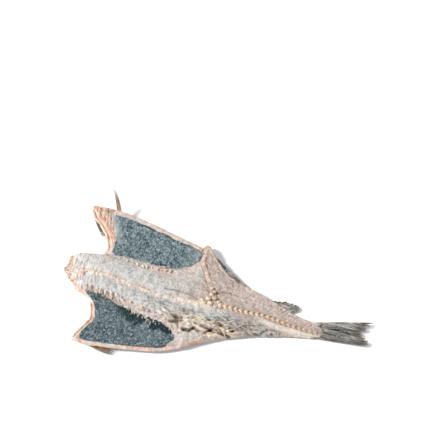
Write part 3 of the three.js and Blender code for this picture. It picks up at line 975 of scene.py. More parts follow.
speckle_and_shade = times(tree, rescale(tree, speckle, 0.42, 0.56), 0.55)
# painted shade: this mask darkens the speckle towards the shaded grey and beige where the relief is
# low
speckle_and_shade = minus(tree, speckle_and_shade, times(tree, mask(tree, "painted_shade"), 0.45))
on_loin = plus(tree, speckle_and_shade, times(tree, across, 0.5))
on_tail = plus(tree, speckle_and_shade, times(tree, lengthwise, 0.5))
cool = tint(tree, on_loin, SHADED_GREY, COOL_WHITE)
warm = tint(tree, on_tail, SHADED_BEIGE, PALE_BEIGE)
blood = rescale(tree, noise(tree, where, scale=110.0, detail=2.0), 0.4, 0.62)
blush = tint(tree, blood, PALE_BLUSH, DEEP_BLUSH)
colour = tint(tree, broken("warmth", 0.5), cool, warm)
colour = tint(tree, times(tree, fibre, 0.35), colour, COOL_WHITE)
# white salt at the nape, and a painted highlight on the tendon band
colour = tint(tree, times(tree, mask(tree, "bleach_and_highlight"), 0.7), colour, SALT_AND_HIGHLIGHT_WHITE)
colour = tint(tree, times(tree, vein, 0.35), colour, SHADED_BEIGE)
# yellowed fat, and partly painted highlight on the crests of folds and frills and the tail's rim
colour = tint(tree, times(tree, broken("cream_and_highlight"), 0.8), colour, CREAM_AND_HIGHLIGHT)
colour = tint(tree, times(tree, broken("blush"), 0.75), colour, blush)
colour = tint(tree, broken("slate", 0.25), colour, SLATE)
# brown staining and painted shade in hollows, grooves and seams, darkest in the deepest pits
colour = tint(tree, times(tree, broken("stain_and_shade", 0.3), 0.85), colour, STAIN_AND_SHADE)
colour = tint(tree, rescale(tree, mask(tree, "stain_and_shade"), 0.75, 1.0, 0, 0.85), colour, DEEP_STAIN_AND_SHADE)
colour = tint(tree, times(tree, crust["Mask"], 0.55), colour, SALT_AND_HIGHLIGHT_WHITE)
roughness = rescale(tree, crust["Mask"], 0, 1, 0.62, 0.45)
grain_height = plus(tree, crust["Height"], times(tree, fibre, 0.6))
grain_height = plus(tree, grain_height, times(tree, speckle, 1.5))
finish_surface(tree, shader, colour, roughness, grain_height, strength=0.9, distance=0.002)
shader.inputs["Specular IOR Level"].default_value = 0.35

# %% [markdown]
# ## Skin side
# Under the fish is its skin: slate and olive with darker marbling along the back, a pale line down
# each flank, and a greyish pink belly towards the rims. Tiny scales make it faintly leathery.

# %% Skin finish
BACK_DARK = (0.065, 0.08, 0.075)
BACK_OLIVE = (0.23, 0.25, 0.215)
BELLY_GREY = (0.44, 0.40, 0.385)
BELLY_PINK = (0.56, 0.54, 0.53)
FLANK_LINE = (0.55, 0.54, 0.48)
SCALE_GREY = (0.42, 0.44, 0.43)

skin_finish, tree, shader = new_finish("cod skin")
where = object_place(tree)
clouds = noise(tree, where, scale=75.0, detail=5.0, roughness=0.65, distortion=0.8)
marbling = rescale(tree, clouds, 0.42, 0.6)
back = tint(tree, marbling, BACK_DARK, BACK_OLIVE)
belly = tint(tree, marbling, BELLY_GREY, BELLY_PINK)
toward_belly = plus(tree, mask(tree, "belly"), times(tree, marbling, 0.25))
colour = tint(tree, rescale(tree, toward_belly, 0.25, 0.95), back, belly)
colour = tint(tree, times(tree, mask(tree, "flank line"), 0.8), colour, FLANK_LINE)
scale_specks = rescale(tree, noise(tree, where, scale=420.0, detail=2.0, roughness=0.6), 0.35, 0.65)
colour = tint(tree, times(tree, scale_specks, 0.35), colour, SCALE_GREY)
crust = use_group(tree, salt_crust, Cover=0.4)
colour = tint(tree, times(tree, crust["Mask"], 0.35), colour, SALT_AND_HIGHLIGHT_WHITE)
roughness = rescale(tree, marbling, 0, 1, 0.42, 0.58)
scales = put(tree, "ShaderNodeTexVoronoi", "Distance", Vector=where, Scale=620.0)
bump_height = plus(tree, scales, crust["Height"])
finish_surface(tree, shader, colour, roughness, bump_height, strength=0.5, distance=0.0006)

# %% [markdown]
# ## The body
# The body is one closed sheet: a fine grid for the flesh, a coarser one for the skin, and a wall
# between them all round, which is the cut edge. The rows crowd together at the front and at the
# tail, and the columns at the rims, because the section rounds off there within a few millimetres.

# %% Body sheet
BODY_ROWS = 300
FLESH_COLUMNS = 201
SKIN_STEP = 2
CROWDING = 0.35


def crowded(count):
    """count numbers from 0 to 1, part even and part cosine, so that they crowd at both ends."""
    k = np.linspace(0, 1, count)
    return blend(k, (1 - np.cos(np.pi * k)) / 2, CROWDING)


along, share = np.meshgrid(crowded(BODY_ROWS), 2 * crowded(FLESH_COLUMNS) - 1, indexing="ij")
x, y = plan_point(along, share)
height, seen = flesh_surface(x, share)
masks = flesh_masks(seen)
flesh_top = np.stack([x, y, height], axis=-1)
under = slice(None), slice(None, None, SKIN_STEP)
skin_bottom = np.stack([x[under], y[under], skin_height(x, share)[under]], axis=-1)
points, faces = closed_sheet(flesh_top, skin_bottom)
print("body sheet:", len(points), "points, highest in mm:", height.max().round(1))

# %% Body masks and finishes
from_crease = np.abs(y - crease(x))[under]
line_reach = blend(57.0, 6.0, soft_step(250, 600, x[under]))  # the flank line nears the back
flank = hump(from_crease - line_reach, 2.2)
belly_skin = soft_step(0.42, 0.8, np.abs(share[under])) * (1 - 0.5 * soft_step(330, 430, x[under]))
on_skin = {"belly": belly_skin, "flank line": flank}
everywhere = {}  # each mask at every point: the flesh side's points come first, then the skin's
for name, values in masks.items():
    everywhere[name] = np.concatenate([values.ravel(), np.zeros(from_crease.size)])
for name, values in on_skin.items():
    everywhere[name] = np.concatenate([np.zeros(x.size), values.ravel()])
for name in ("blush", "cream_and_highlight"):  # the cut edge is flesh, so the skin's rim carries its colours too
    everywhere[name][x.size:] = masks[name][under].ravel()

body = make_piece("cod_body", points, faces, flesh_finish, everywhere)
body.data.materials.append(skin_finish)
flesh_faces, skin_faces = len(faces[0]), len(faces[1])
which = np.zeros(len(body.data.polygons), np.int32)
which[flesh_faces:flesh_faces + skin_faces] = 1
body.data.polygons.foreach_set("material_index", which)
settle(body, "salted_flesh", "fish_body")

# %% [markdown]
# ## Belly linings
# The belly cavity is lined with a thin black membrane. Dusted with salt it dries slate blue, and on
# a good fish it is left on both flaps. It is a sheet of its own that ends in a thin ragged edge, so
# it lies on the flap as a separate closed sheet whose four borders each wander a little. Its colour
# carries painted shade: in spots near its borders, a little over the whole right flap, and almost
# black, with hardly any salt, along the inner border of the right flap under the edge of the loin.

# %% Lining finish
LINING_DARK = (0.007, 0.033, 0.040)
LINING_MID = (0.135, 0.20, 0.22)
LINING_PAINTED_SHADE = (0.003, 0.024, 0.027)
LINING_PALE = (0.42, 0.50, 0.54)
LINING_SALT = (0.60, 0.66, 0.68)

lining_finish, tree, shader = new_finish("belly lining")
where = object_place(tree)
clouds = noise(tree, where, scale=60.0, detail=4.0, roughness=0.7, distortion=0.5)
blotches = rescale(tree, clouds, 0.46, 0.58)
grains = noise(tree, where, scale=190.0, detail=4.0, roughness=0.85, distortion=0.8)
fine = rescale(tree, grains, 0.45, 0.55)
wrinkles = use_group(tree, dried_fibres, Threads_per_metre=150.0, Stretch=1.9)["Threads"]
crust = use_group(tree, salt_crust, Crystals_per_metre=420.0, Cover=0.42)
colour = tint(tree, fine, LINING_DARK, LINING_MID)
colour = tint(tree, times(tree, blotches, 0.25), colour, LINING_PALE)
colour = tint(tree, rescale(tree, wrinkles, 0.5, 0.9, 0, 0.55), colour, LINING_PALE)
colour = tint(tree, rescale(tree, wrinkles, 0.45, 0.1, 0, 0.6), colour, LINING_DARK)
# painted shade: the shade mask darkens the membrane almost to black
uneven_shade = plus(tree, mask(tree, "shade"), minus(tree, times(tree, fine, 0.5), 0.3))
colour = tint(tree, times(tree, rescale(tree, uneven_shade, 0.1, 0.7), 0.9), colour, LINING_PAINTED_SHADE)
colour = tint(tree, times(tree, mask(tree, "paling"), 0.9), colour, LINING_PALE)
flecks = rescale(tree, noise(tree, where, scale=210.0, detail=3.0, roughness=0.8), 0.56, 0.61)
salted = worked_out(tree, "MAXIMUM", times(tree, crust["Mask"], 0.5), times(tree, flecks, 0.8))
# less salt where the painted shade lies, so that it stays dark
salt_outside_painted_shade = rescale(tree, mask(tree, "shade"), 0.3, 0.8, 0.85, 0.08)
salted = times(tree, salted, salt_outside_painted_shade)
colour = tint(tree, salted, colour, LINING_SALT)
roughness = rescale(tree, salted, 0, 1, 0.42, 0.6)
wrinkled_height = plus(tree, crust["Height"], plus(tree, wrinkles, fine))
finish_surface(tree, shader, colour, roughness, wrinkled_height, strength=0.8, distance=0.0012)
shader.inputs["Specular IOR Level"].default_value = 0.25

# %% Lining sheets
LINING_ROWS = 170
LINING_COLUMNS = 70
LINING_FRONT = 88.0
LINING_REAR = 280.0
LINING_LENGTH = 190.0
LINING_WIDTH = 80.0
LINING_THICKNESS = 0.7
LINING_GAP = 0.35
left_rear = through((0, 276), (0.35, 285), (0.7, 290), (1, 282))
right_rear = through((0, 284), (0.5, 292), (1, 280))


def lining_borders(side, k, seed):
    """The inner and outer border as shares of the half width, for k from 0 at the front to 1 at the
    rear. The corners round off because the width narrows as an ellipse in the first and last 4
    hundredths of the length, and both borders are moved by patches a few millimetres long."""
    middle = blend(LINING_FRONT, LINING_REAR, k)
    width = half_width(middle, side + 0 * k)
    loin = left_loin(middle) if side > 0 else right_loin(middle)
    inner = np.minimum((0.97 if side > 0 else 0.85) * loin / width, 0.9)
    margin = blend(12.5, 9.5, k) if side > 0 else blend(9.5, 6.5, k)
    ends = np.clip(np.minimum(k, 1 - k) / 0.04, 0, 1)
    pinch = 0.06 * (1 - np.sqrt(1 - (1 - ends) ** 2))
    ragged = 2.6 * patch_line(middle, 9, seed) + 1.6 * patch_line(middle, 4, seed + 1)
    ragged = ragged if side > 0 else 1.8 * ragged
    inner = inner + pinch + (ragged + 2.0) / width
    outer = 1 - margin / width - pinch + 1.5 * patch_line(middle, 12, seed + 2) / width
    return inner, outer


def lining_shades(side, k, across, x, y, edge, seed):
    """Where painted shade darkens the membrane and where it is pale. Both linings get painted shade in
    spots near their borders. The right one has a little painted shade all over and is darkest along
    its inner border, under the edge of the loin, behind a quarter of its length, and the left one is
    pale at its front and a little at its rear."""
    shade = hump(edge, 5) * spots(x, y, 18, seed + 6, -0.2, 0.5) * 0.8
    if side > 0:
        paling = hump(k * LINING_LENGTH - 2, 9) * soft_step(0.2, 0.6, across) * 0.85
        return shade, np.maximum(paling, 0.3 * soft_step(0.75, 1.0, k))
    deepest = across + 0.12 * patches(x, y, 14, seed + 7) + 0.06 * patches(x, y, 5, seed + 8)
    deepest = deepest + 0.25 * spots(x, x * 0, 16, seed + 10, 0.1, 0.6)
    # painted shade, almost black, along the right lining's inner border under the loin
    black = (1 - soft_step(0.2, 0.42, deepest)) * soft_step(0.22, 0.38, k)
    shade = np.maximum(shade * soft_step(0.1, 0.25, k), black)
    return np.maximum(shade, 0.25), 0 * k


def lining(name, side, rear_line, seed):
    """A sheet over one flap: k runs from front to rear and across from the loin to the rim. It lies
    LINING_GAP above the flesh, with wrinkles where patches pass zero, and thins towards its edge."""
    k, across = np.meshgrid(crowded(LINING_ROWS), np.linspace(0, 1, LINING_COLUMNS), indexing="ij")
    inner, outer = lining_borders(side, k, seed)
    where = side * blend(inner, outer, across)
    wander = 1.6 * patch_line(across * LINING_WIDTH, 7, seed + 3)
    start = (left_lining_front(where) if side > 0 else clean_front(where) + 6.5) + wander
    x = blend(start, rear_line(across) + 1.5 * wander, k)
    y = crease(x) + where * half_width(x, where)
    wrinkle = 0.35 * np.abs(cloudy(x, y, 16, seed + 5)) + 0.25 * np.abs(patches(x, y, 5, seed + 9))
    from_ends = np.minimum(k, 1 - k) * LINING_LENGTH
    edge = np.minimum(from_ends, np.minimum(across, 1 - across) * LINING_WIDTH)
    thin = blend(0.3, 1.0, soft_step(0, 2.5, edge))
    low = np.stack([x, y, flesh_surface(x, where)[0] + LINING_GAP], axis=-1)
    high = low + np.stack([x * 0, x * 0, (LINING_THICKNESS + wrinkle) * thin], axis=-1)
    shade, paling = lining_shades(side, k, across, x, y, edge, seed)
    turned = slice(None), slice(None, None, 1 if side > 0 else -1)  # keeps the faces outward
    points, faces = closed_sheet(high[turned], low[turned])
    masks = {"shade": np.tile(shade[turned].ravel(), 2), "paling": np.tile(paling[turned].ravel(), 2)}
    return make_piece(name, points, faces, lining_finish, masks)


lining_left = lining("lining_left", side=1, rear_line=left_rear, seed=70)
lining_right = lining("lining_right", side=-1, rear_line=right_rear, seed=90)
settle(lining_left, "belly_membrane", "belly_lining_left")
settle(lining_right, "belly_membrane", "belly_lining_right")

# %% [markdown]
# ## Bones
# Two kinds of bone are left in the fish. The collar bones edge the wings where the gills were, and
# carry dried pink flesh. The tail half of the backbone is a row of vertebrae, each shaped like a
# cotton reel, so a tube whose radius rises and falls once per vertebra is the whole row. Its front
# end is where it was cut through: a few round yellow knobs with dark holes.

# %% Bone finish
BONE_SHADED = (0.45, 0.33, 0.24)
BONE_PALE = (0.84, 0.68, 0.53)
BONE_STAIN_AND_SHADE = (0.20, 0.115, 0.06)

bone_finish, tree, shader = new_finish("dried bone")
where = object_place(tree)
grain = noise(tree, where, scale=480.0, detail=3.0, roughness=0.6)
blotch = noise(tree, where, scale=130.0, detail=3.0, roughness=0.6)
blush = tint(tree, rescale(tree, blotch, 0.42, 0.6), PALE_BLUSH, DEEP_BLUSH)
broken_blush = plus(tree, mask(tree, "blush"), minus(tree, blotch, 0.5))
broken_blush = rescale(tree, broken_blush, 0.25, 0.75)
crust = use_group(tree, salt_crust, Cover=0.35)
colour = tint(tree, rescale(tree, grain, 0.38, 0.62), BONE_SHADED, BONE_PALE)
colour = tint(tree, broken_blush, colour, blush)
# brown staining, and painted shade in the gaps between vertebrae and in the knobs' dimples
colour = tint(tree, times(tree, mask(tree, "stain_and_shade"), 0.85), colour, BONE_STAIN_AND_SHADE)
colour = tint(tree, times(tree, crust["Mask"], 0.4), colour, SALT_AND_HIGHLIGHT_WHITE)
roughness = rescale(tree, grain, 0.3, 0.7, 0.4, 0.62)
bump_height = plus(tree, grain, crust["Height"])
finish_surface(tree, shader, colour, roughness, bump_height, strength=0.5, distance=0.0006)

# %% Backbone
BACKBONE_START = 347.0
BACKBONE_END = 586.0
VERTEBRAE = 20
BACKBONE_RINGS = 12 * VERTEBRAE + 1
BACKBONE_SIDES = 24
KNOB_RINGS = 12
KNOB_SIDES = 16
backbone_radius = through((345, 6.2), (400, 6.6), (450, 5.9), (540, 4.4), (586, 3.0))
knobs = np.array([  # X, Y, height above the flesh, radius, and how far its top is hollowed
    (337, 3, 2.0, 5.2, 0.3), (349, 8, 1.8, 4.8, 1.0), (344, -7, 2.2, 5.8, 0.0),
    (357, -10, 1.6, 4.6, 0.8), (331, -8, 1.5, 4.6, 1.0), (361, 1, 1.5, 4.2, 0.0),
    (325, -4, 1.2, 4.0, 0.0), (367, -9, 1.2, 4.0, 0.2), (341, 14, 1.2, 4.2, 0.0),
    (346, 22, 1.0, 3.8, 0.9), (338, 29, 0.8, 3.4, 0.0),
])


def share_at(x, y):
    """The share of the half width at a point of the plan."""
    off = y - crease(x)
    return off / half_width(x, off)


def flesh_at(x, y):
    """Height of the flesh side at points of the plan."""
    return flesh_surface(x, share_at(x, y))[0]


def backbone():
    """One flattened tube along the crease, with a bell at every gap between two vertebrae: there the
    radius shrinks by 16 hundredths and the top sinks by 1.1 mm. Both sides of the tube are moved
    4.5 mm to the tail, by the square of their distance from its top, so each gap is an arc."""
    step = np.linspace(0, 1, BACKBONE_RINGS)
    x = blend(BACKBONE_START, BACKBONE_END, step)
    phase = (step * VERTEBRAE) % 1
    gap = hump(np.minimum(phase, 1 - phase), 0.24)
    radius = backbone_radius(x) * (1.0 - 0.16 * gap)
    radius[[0, -1]] = radius[[0, -1]] * 0.6
    centre = smooth_flesh_height(x, x * 0) - 0.08 * backbone_radius(x)
    path = np.stack([x, crease(x) + 0.6 * patch_line(x, 40, 120), centre], axis=-1)
    points, faces = strands(path[None], radius[None], BACKBONE_SIDES, flatten=0.72)
    turn = np.tile(np.linspace(0, 2 * np.pi, BACKBONE_SIDES, endpoint=False), BACKBONE_RINGS)
    side = np.abs(np.cos(turn))
    points[:, 0] += 4.5 * side**2
    rough = patches(points[:, 0], points[:, 1] + 3 * points[:, 2], 3.0, 121)
    points[:, 2] += 0.5 * rough - 1.1 * np.repeat(gap, BACKBONE_SIDES)
    faded = 0.55 + 0.45 * soft_step(365, 400, points[:, 0])
    # brown staining and painted shade in the gaps between vertebrae
    stain_and_shade = np.repeat(soft_step(0.1, 0.6, gap), BACKBONE_SIDES) * (0.95 + 0.3 * rough) * faded
    return points, faces, stain_and_shade


def cut_knobs():
    """Round knobs, some with a dimple on top: lumpy spheres whose polar angle runs from pole to
    pole, pushed in by a bell round the upper pole. Their poles are small closed faces."""
    polar = np.linspace(np.pi - 0.06, 0.06, KNOB_RINGS)
    turn = np.linspace(0, 2 * np.pi, KNOB_SIDES, endpoint=False)
    size = knobs[:, 3, None, None]
    around = size * np.sin(polar)[:, None]
    hollow = knobs[:, 4, None, None] * hump(polar, 0.5)[:, None]
    up = size * (np.cos(polar)[:, None] - 0.55 * hollow) + 0 * turn
    low = (flesh_at(knobs[:, 0], knobs[:, 1]) + knobs[:, 2])[:, None, None]
    cx = knobs[:, 0, None, None] + around * np.cos(turn) * 1.15
    cy = knobs[:, 1, None, None] + around * np.sin(turn) * 0.9
    cz = low + up
    wobble = 1.1 * patches(cx, cy + 2 * cz, 4, 130)
    points = np.stack([cx + wobble, cy - wobble, cz], axis=-1)
    stain_and_shade = np.broadcast_to(hollow, cx.shape)  # brown staining and painted shade in the dimple
    return points.reshape(-1, 3), tube_faces(*cx.shape), stain_and_shade.ravel()


def joined(*shapes):
    """Several shapes, each of points, faces and a mask, as one."""
    offsets = np.cumsum([0] + [len(shape[0]) for shape in shapes])
    points = np.concatenate([shape[0] for shape in shapes])
    faces = [part + start for shape, start in zip(shapes, offsets) for part in shape[1]]
    return points, faces, np.concatenate([shape[2] for shape in shapes])


points, faces, stain_and_shade = joined(backbone(), cut_knobs())
along_tail = soft_step(362, 385, points[:, 0])
rear_brown = blend(0.18, 0.32, soft_step(450, 500, points[:, 0])) * along_tail
bone_masks = {"stain_and_shade": np.maximum(stain_and_shade, rear_brown), "blush": 0.22 * along_tail}
vertebrae = make_piece("vertebrae", points, faces, bone_finish, bone_masks)
settle(vertebrae, "backbone", "tail_backbone")

# %% Collar bones
COLLAR_STEPS = 90
COLLAR_SIDES = 14
CLEAR_OF_TABLE = 0.3


def collar_bone(name, side, start, end, seed):
    """A flattened strand along the front edge of a wing. Its middle runs 2.1 to 3.1 mm outside the
    flesh and its radius wanders between 2.6 and 3.6 mm, so it sinks in a little. It tapers at both
    ends, and it stays CLEAR_OF_TABLE above the table."""
    k = np.linspace(0, 1, COLLAR_STEPS)
    share = side * blend(start, end, k)
    x = clean_front(share)
    y = crease(x) + share * half_width(x, share)
    outward = unit(np.stack([-np.gradient(y) * side, np.gradient(x) * side], axis=-1))
    level = (smooth_flesh_height(x, share) + skin_height(x, share)) / 2
    clear = 2.6 + 0.5 * patch_line(k * 100, 14, seed)
    path = np.stack([x + outward[:, 0] * clear, y + outward[:, 1] * clear, level], axis=-1)
    taper = np.sqrt(np.clip(np.minimum(k, 1 - k) / 0.06, 0.06, 1))
    radius = (3.1 + 0.5 * patch_line(k * 100, 9, seed + 1)) * taper
    points, faces = strands(path[None], radius[None], COLLAR_SIDES, flatten=0.95)
    points[:, 2] += 0.4 * patches(points[:, 0], points[:, 1], 5, seed + 2)
    points[:, 2] = np.maximum(points[:, 2], CLEAR_OF_TABLE)
    blush = 0.75 * spots(points[:, 0], points[:, 1], 13, seed + 3, -0.4, 0.5)
    stain_and_shade = 0.5 * spots(points[:, 0], points[:, 1], 6, seed + 4, 0.55, 0.9)
    return make_piece(name, points, faces, bone_finish, {"blush": blush, "stain_and_shade": stain_and_shade})


collar_left = collar_bone("collar_left", side=1, start=0.36, end=0.96, seed=140)
collar_right = collar_bone("collar_right", side=-1, start=0.38, end=0.96, seed=150)
settle(collar_left, "collar_bone", "collar_bone_left")
settle(collar_right, "collar_bone", "collar_bone_right")

# %% [markdown]
# ## Fins
# A dried fin is a fan of stiff rays with a brittle film between them, and the film has torn back
# from the edge so that the rays end in points of uneven length. So every fin is one thin sheet
# whose thickness swells at each ray, and whose outer border has a notch between every two rays.

# %% [markdown]
# ## The finish of a fin
# A fin dries almost black. Its rays are a little paler than the film, salt and wear have streaked it
# along the rays, its tips are brown and a little flesh colour runs up from its root. The mesh hands
# over what the finish cannot know: where the rays are and how far a point is from the root.

# %% Fin finish
FILM_DARK = (0.018, 0.022, 0.022)
FILM_PALE = (0.090, 0.095, 0.088)
RAY_DARK = (0.050, 0.043, 0.034)
RAY_PALE = (0.20, 0.175, 0.145)
STREAK_PALE = (0.42, 0.405, 0.375)
STREAK_BLACK = (0.013, 0.013, 0.011)
WORN_GREY = (0.50, 0.54, 0.56)
ROOT_FLESH = (0.50, 0.41, 0.35)
TIP_BROWN = (0.055, 0.040, 0.024)
FIN_TAN = (0.36, 0.235, 0.12)

fin_finish, tree, shader = new_finish("dried fin")
where = object_place(tree)
ray = mask(tree, "ray")
reach = mask(tree, "reach")
fine = rescale(tree, noise(tree, where, scale=350.0, detail=3.0, roughness=0.7), 0.35, 0.65)
film = tint(tree, fine, FILM_DARK, FILM_PALE)
colour = tint(tree, ray, film, tint(tree, fine, RAY_DARK, RAY_PALE))
streaks = use_group(tree, dried_fibres, Threads_per_metre=170.0, Stretch=0.09)["Threads"]
colour = tint(tree, rescale(tree, streaks, 0.55, 0.9), colour, STREAK_PALE)
colour = tint(tree, rescale(tree, streaks, 0.45, 0.2), colour, STREAK_BLACK)
tone = times(tree, mask(tree, "tone"), fine)
colour = tint(tree, rescale(tree, tone, 0.3, 0.9, 0, 0.5), colour, WORN_GREY)
rooted = times(tree, rescale(tree, reach, 0.4, 0.12), rescale(tree, streaks, 0.4, 0.65))
colour = tint(tree, times(tree, rooted, 0.5), colour, ROOT_FLESH)
colour = tint(tree, rescale(tree, reach, 0.72, 1.0, 0, 0.85), colour, TIP_BROWN)
colour = tint(tree, rescale(tree, mask(tree, "tan"), 0, 1, 0, 0.8), colour, FIN_TAN)
crust = use_group(tree, salt_crust, Crystals_per_metre=600.0, Cover=0.38)
colour = tint(tree, times(tree, crust["Mask"], 0.4), colour, SALT_AND_HIGHLIGHT_WHITE)
roughness = rescale(tree, ray, 0, 1, 0.6, 0.42)
bump_height = plus(tree, fine, crust["Height"])
finish_surface(tree, shader, colour, roughness, bump_height, strength=0.5, distance=0.0005)

# %% Fin sheets
STEPS_PER_RAY = 6


def fin(name, centre, rays, rows, root_thick, tip_thick, notch, fray, seed, tan=0.0):
    """centre(u, v) gives points on the fin's middle surface, u from the root to the tips and v
    across the rays. A ray is a ridge, the absolute cosine of v. The border draws back by fray times
    a random number for each ray and by notch between rays, so u stops short there."""
    even_u, even_v = np.linspace(0, 1, rows), np.linspace(0, 1, rays * STEPS_PER_RAY + 1)
    u, v = np.meshgrid(even_u, even_v, indexing="ij")
    ridge = np.abs(np.cos(np.pi * v * rays)) ** 0.8
    lengths = np.random.RandomState(seed).uniform(0, 1, rays + 2)
    own = lengths[np.rint(v * rays).astype(int)]
    between = lengths[np.floor(v * rays).astype(int) + 1]
    reach = 1 - fray * own - notch * (1 - ridge) * (0.5 + between)
    points = centre(u * np.clip(reach, 0.15, 1), v)
    thick = blend(root_thick, tip_thick, u) * (0.45 + 0.55 * ridge) * blend(1.0, 0.55, u**3)
    solid, faces = closed_sheet(*thick_sheet(points, thick))
    worn = soft_step(0.3, 0.9, own[:, ::-1]) * spots(u * 9, v * 40, 3, seed + 1, -0.5, 0.4)
    shown = {"ray": ridge**2, "reach": u, "tone": worn, "tan": np.full_like(u, tan)}
    masks = {key: np.tile(values.ravel(), 2) for key, values in shown.items()}
    return make_piece(name, solid, faces, fin_finish, masks)


def spanned(root, tip, arch=0.0):
    """A middle surface of straight rays from root(v) to tip(v), bowed up by arch at half way."""

    def centre(u, v):
        """The straight ray, plus the arch as a parabola and a slight warp."""
        points = blend(root(v), tip(v), u[..., None])
        points[..., 2] += arch * 4 * u * (1 - u) + 0.4 * patches(u * 60, v * 60, 12, 170)
        return points

    return centre


# %% Tail fin
tail_border = through((0, 0), (0.25, -8), (0.5, -17), (0.75, -9), (1, -1))
TAIL_ROOT = 578.0
TAIL_ROOT_SIDES = (24.0, -14.0)  # Y of the first and the last ray
TAIL_END = 702.0
TAIL_END_SIDES = (59.0, -1.0)


def tail_root(v):
    """The fan starts inside the tail's root, as wide as the flesh there."""
    x = TAIL_ROOT + 0 * v
    return np.stack([x, blend(*TAIL_ROOT_SIDES, v), tail_lift(x) + 3.2], axis=-1)


def tail_tip(v):
    """The border of the fan, forked by 17 mm in its middle."""
    x = TAIL_END + tail_border(v)
    return np.stack([x, blend(*TAIL_END_SIDES, v), tail_lift(x) + 3 + 1.5 * np.sin(7 * v)], axis=-1)


tail_fin = fin(
    "tail_fan", spanned(tail_root, tail_tip, arch=0.8), rays=17, rows=60, root_thick=4.6,
    tip_thick=1.3, notch=0.13, fray=0.10, seed=180,
)
settle(tail_fin, "fin", "tail_fin")

# %% Anal fins
def anal_centre(start, end, height, lean, tail_end):
    """Rays stand out from the left rim between two X, rise as a sine that begins at tail_end, and
    lean to the tail by lean times their rise."""

    def edge(x):
        """A point of the left rim, 1.5 mm inside it and 0.8 mm above the skin."""
        one = x * 0 + 1
        return np.stack([x, left_border(x) - 1.5, skin_height(x, one) + 0.8], axis=-1)

    def tip(v):
        """The end of a ray: its root on the rim plus the rise."""
        x = blend(end, start, v)
        rise = (height + 2.0) * np.sin(np.pi * blend(tail_end, 0.96, v)) ** 0.7
        return edge(x) + np.stack([lean * rise, rise, 0.22 * rise], axis=-1)

    return spanned(lambda v: edge(blend(end, start, v)), tip)


first_anal = fin(
    "anal_fin_first", anal_centre(322, 406, height=6.5, lean=0.6, tail_end=0.08), rays=20, rows=16,
    root_thick=2.2, tip_thick=1.0, notch=0.10, fray=0.10, seed=190,
)
second_anal = fin(
    "anal_fin_second", anal_centre(474, 520, height=15, lean=1.5, tail_end=0.2), rays=8, rows=26,
    root_thick=2.2, tip_thick=1.0, notch=0.25, fray=0.25, seed=191,
)
settle(first_anal, "fin", "first_anal_fin")
settle(second_anal, "fin", "second_anal_fin")

# %% Dorsal fins
def dorsal_centre(start, end):
    """A fin folded flat in the groove under the back: v runs along it, and its rays lean back from
    one side of the groove to the other."""

    def outline(v, edge):
        """One side of the folded fin, -1 or 1: its half width is the 0.6th power of a sine."""
        k = blend(0.02, 0.98, v)
        half = 0.62 * BACK_GROOVE_HALF_WIDTH * np.sin(np.pi * blend(0.12, 0.93, k)) ** 0.6
        x = blend(start, end, k) + edge * 5.0 * np.sin(np.pi * k)
        return np.stack([x, crease(x) + edge * half, x * 0 + 1.9], axis=-1)

    return spanned(lambda v: outline(v, -1), lambda v: outline(v, 1))


for name, start, end, rays, node in (
    ("dorsal_fin_first", 48, 165, 22, "first_dorsal_fin"),
    ("dorsal_fin_second", 188, 358, 30, "second_dorsal_fin"),
    ("dorsal_fin_third", 382, 522, 24, "third_dorsal_fin"),
):
    dorsal = fin(
        name, dorsal_centre(start, end), rays, rows=14, root_thick=1.7, tip_thick=1.0, notch=0.10,
        fray=0.06, seed=200 + rays,
    )
    settle(dorsal, "fin", node)

# %% Pectoral and pelvic fins
def under_skin(x, side, inset_y, drop):
    """A point below the skin of a wing: inset_y inside its rim and drop below its skin."""
    x = np.array(float(x))
    y = (left_border(x) if side > 0 else right_border(x)) - side * inset_y
    return np.array([x, y, skin_height(x, share_at(x, y)) - drop])


def beyond_rim(x, side, outward, rise):
    """A point outside a wing: outward from its rim and rise above the skin there."""
    x = np.array(float(x))
    y = (left_border(x) if side > 0 else right_border(x)) + side * outward
    return np.array([x, y, skin_height(x, np.array(float(side))) + rise])


def blade(route, across, root_width, tip_width):
    """A fin along a curve through its route's first and last points, drawn towards the middle one,
    that widens from root_width to tip_width in the direction across."""
    start, middle, end = (np.array(point, float) for point in route)
    across = np.array(across, float)

    def centre(u, v):
        """The curve of three points, each weighted by (1 - k)^2, 2 k (1 - k) and k^2."""
        k = u[..., None]
        line = start * (1 - k) ** 2 + middle * 2 * k * (1 - k) + end * k * k
        return line + across * ((0.5 - v) * blend(root_width, tip_width, u))[..., None]

    return centre


left_pectoral = blade(
    [under_skin(70, 1, 13, 5), beyond_rim(65, 1, 16, -4), beyond_rim(40, 1, 46, 30)],
    across=(1, 0, 0), root_width=13, tip_width=8,
)
right_pectoral = blade(
    [under_skin(112, -1, 15, 4), beyond_rim(140, -1, 4, -5), beyond_rim(186, -1, 9, -5)],
    across=(0.3, 0.95, 0), root_width=11, tip_width=15,
)
left_pelvic = blade(
    [(50, 98, 5), (32, 111, 14), (8, 142, 25)],
    across=(0.74, 0.67, 0), root_width=8, tip_width=5,
)
right_pelvic = blade(
    [under_skin(104, -1, 34, 4), (124, -142, 3), (152, -147, 3)],
    across=(0.2, 0.97, 0), root_width=8, tip_width=9,
)
for name, shape, rays, thick, notch, tan, node in (
    ("pectoral_left", left_pectoral, 4, 3.0, 0.9, 1.0, "pectoral_fin_left"),
    ("pectoral_right", right_pectoral, 9, 2.4, 0.25, 0.5, "pectoral_fin_right"),
    ("pelvic_left", left_pelvic, 4, 2.0, 0.4, 0.1, "pelvic_fin_left"),
    ("pelvic_right", right_pelvic, 4, 2.0, 0.3, 0.3, "pelvic_fin_right"),
):
    side_fin = fin(
        name, shape, rays, rows=36, root_thick=thick, tip_thick=1.0, notch=notch, fray=0.2,
        seed=220 + rays, tan=tan,
    )
    settle(side_fin, "fin", node)

